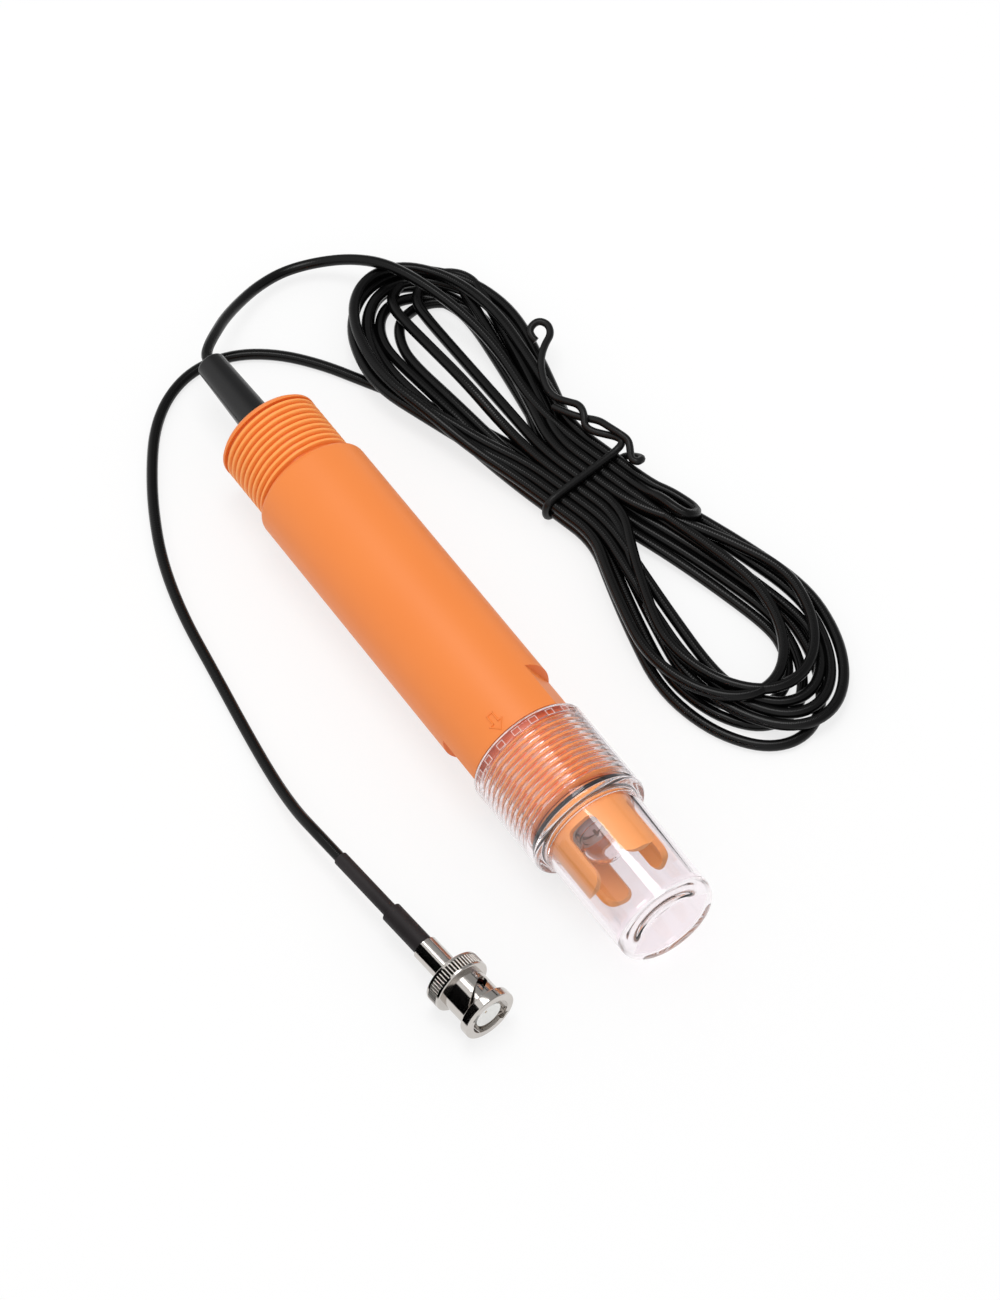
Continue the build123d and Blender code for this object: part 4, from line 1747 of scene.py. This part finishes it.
@dataclass
class Stage:
    """The pale floor, the soft light and the camera."""

    floor_size: float = 6000.0
    floor_drop: float = 0.05
    floor_colour: Colour = (0.96, 0.96, 0.96)
    floor_glow: float = 0.75
    world_strength: float = 0.8
    far_gloss: float = 0.4
    near_span: Pair = (-0.35, 0.55)
    camera_place: Point = (555.17, -361.01, 978.44)
    camera_target: Point = (4.12, 16.54, 0.0)
    focal_pixels: float = 4941.84
    image_height: float = 1300.0
    sensor: float = 36.0
    clip: Pair = (0.05, 20.0)
    lamp_place: Point = (-120.0, 20.0, 1000.0)
    lamp_size: float = 450.0
    lamp_power: float = 3.5
    light_bounces: int = 24
    cards: tuple[Card, ...] = (
        Card("side_card", (67.0, -60.0, 19.0), (42.0, 28.0), (0.0, 1.0, 0.0)),
        Card("far_card", (-4.0, 118.0, 112.0), (130.0, 18.0), (0.0, -0.75, -0.66)),
    )

    def seen(self, tree: NodeTree) -> Value:
        """Is 1 for what the camera sees, directly, mirrored or through something clear.

        Args:
            tree: The tree of a material or of the world.

        Returns:
            The value.
        """
        path = tree.node("ShaderNodeLightPath")
        names = ("Is Camera Ray", "Is Glossy Ray", "Is Transmission Ray")
        first, second, third = (tree.output(path, name) for name in names)
        return tree.maths("MAXIMUM", first, tree.maths("MAXIMUM", second, third))

    def floor(self) -> None:
        """Lays the floor, which is near white to the camera and still takes the shadow."""
        shader = ShaderTree("pale_floor")
        shader.set(base_color=linear(self.floor_colour), roughness=0.9, specular_ior_level=0.0)
        glow = shader.value("ShaderNodeEmission", inputs={"Color": WHITE, "Strength": 1.0})
        shader.blend(self.seen(shader) * self.floor_glow, glow)
        half = self.floor_size / 2 * MM
        middle = Vector((0, 0, -self.floor_drop * MM))
        floor = flat_piece("floor", middle, Vector((half, 0, 0)), Vector((0, half, 0)), shader.material)

    def world(self) -> None:
        """Makes the white surroundings, which are dimmer in gloss on the far side."""
        world = bpy.data.worlds.new("studio")
        world.use_nodes = True
        bpy.context.scene.world = world
        tree = NodeTree(world.node_tree)
        tree.tree.nodes.clear()
        _, across, _ = tree.split(tree.value("ShaderNodeTexCoord", name="Generated"))
        near = tree.smooth_step(0 - across, *self.near_span)
        mirrored = tree.value("ShaderNodeLightPath", name="Is Glossy Ray")
        dimmed = mirrored * (1 - near) * (1 - self.far_gloss)
        strength = self.world_strength + (1 - self.world_strength) * self.seen(tree) - dimmed
        sky = tree.value("ShaderNodeBackground", inputs={"Color": WHITE, "Strength": strength})
        tree.node("ShaderNodeOutputWorld", inputs={"Surface": sky})

    def lamp(self) -> None:
        """Hangs the large soft lamp."""
        light = bpy.data.lights.new("soft_lamp", "AREA")
        light.size = self.lamp_size * MM
        light.energy = self.lamp_power
        lamp = new_piece("soft_lamp", light)
        lamp.location = Vector(self.lamp_place) * MM
        lamp.rotation_euler = (-lamp.location).to_track_quat("-Z", "Y").to_euler()

    def black_cards(self) -> None:
        """Stands the black cards that the gloss of metal and clear plastic shows."""
        shader = ShaderTree("black_card")
        shader.set(base_color=(0, 0, 0, 1), roughness=1.0, specular_ior_level=0.0)
        for card in self.cards:
            card.build(shader.material)

    def camera(self) -> None:
        """Sets the camera where the photograph was taken from."""
        data = bpy.data.cameras.new("camera")
        data.sensor_width = self.sensor
        data.lens = self.sensor * self.focal_pixels / self.image_height
        data.clip_start, data.clip_end = self.clip
        camera = new_piece("camera", data)
        camera.location = Vector(self.camera_place) * MM
        view = (Vector(self.camera_target) - Vector(self.camera_place)).to_track_quat("-Z", "Y")
        camera.rotation_euler = view.to_euler()
        bpy.context.scene.camera = camera

    def build(self) -> None:
        """Builds the stage."""
        scene = bpy.context.scene
        scene.view_settings.view_transform = "Standard"
        for limit in ("max_bounces", "glossy_bounces", "transmission_bounces", "transparent_max_bounces"):
            setattr(scene.cycles, limit, self.light_bounces)
        self.camera()
        self.floor()
        self.world()
        self.lamp()
        self.black_cards()


def main() -> None:
    """Builds the stage and each sub-assembly."""
    logging.basicConfig(level=logging.INFO, format="%(message)s")
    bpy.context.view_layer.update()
    Stage().build()
    lead = LeadCord()
    plug = BayonetPlug()
    finishes = Finishes(lead.length)
    finishes.dress_nodes()
    tree = ScrewThread()
    body = ElectrodeBody()
    body.build(finishes, tree)
    SensingStem().build(finishes)
    ProtectiveCap().build(finishes, tree, body)
    plug_pieces = plug.build(finishes)
    tie = TwistTie().build(finishes, lead.hank)
    lead.build(finishes, plug, [*plug.nodes, *plug_pieces, tie])


if __name__ == "__main__":
    main()
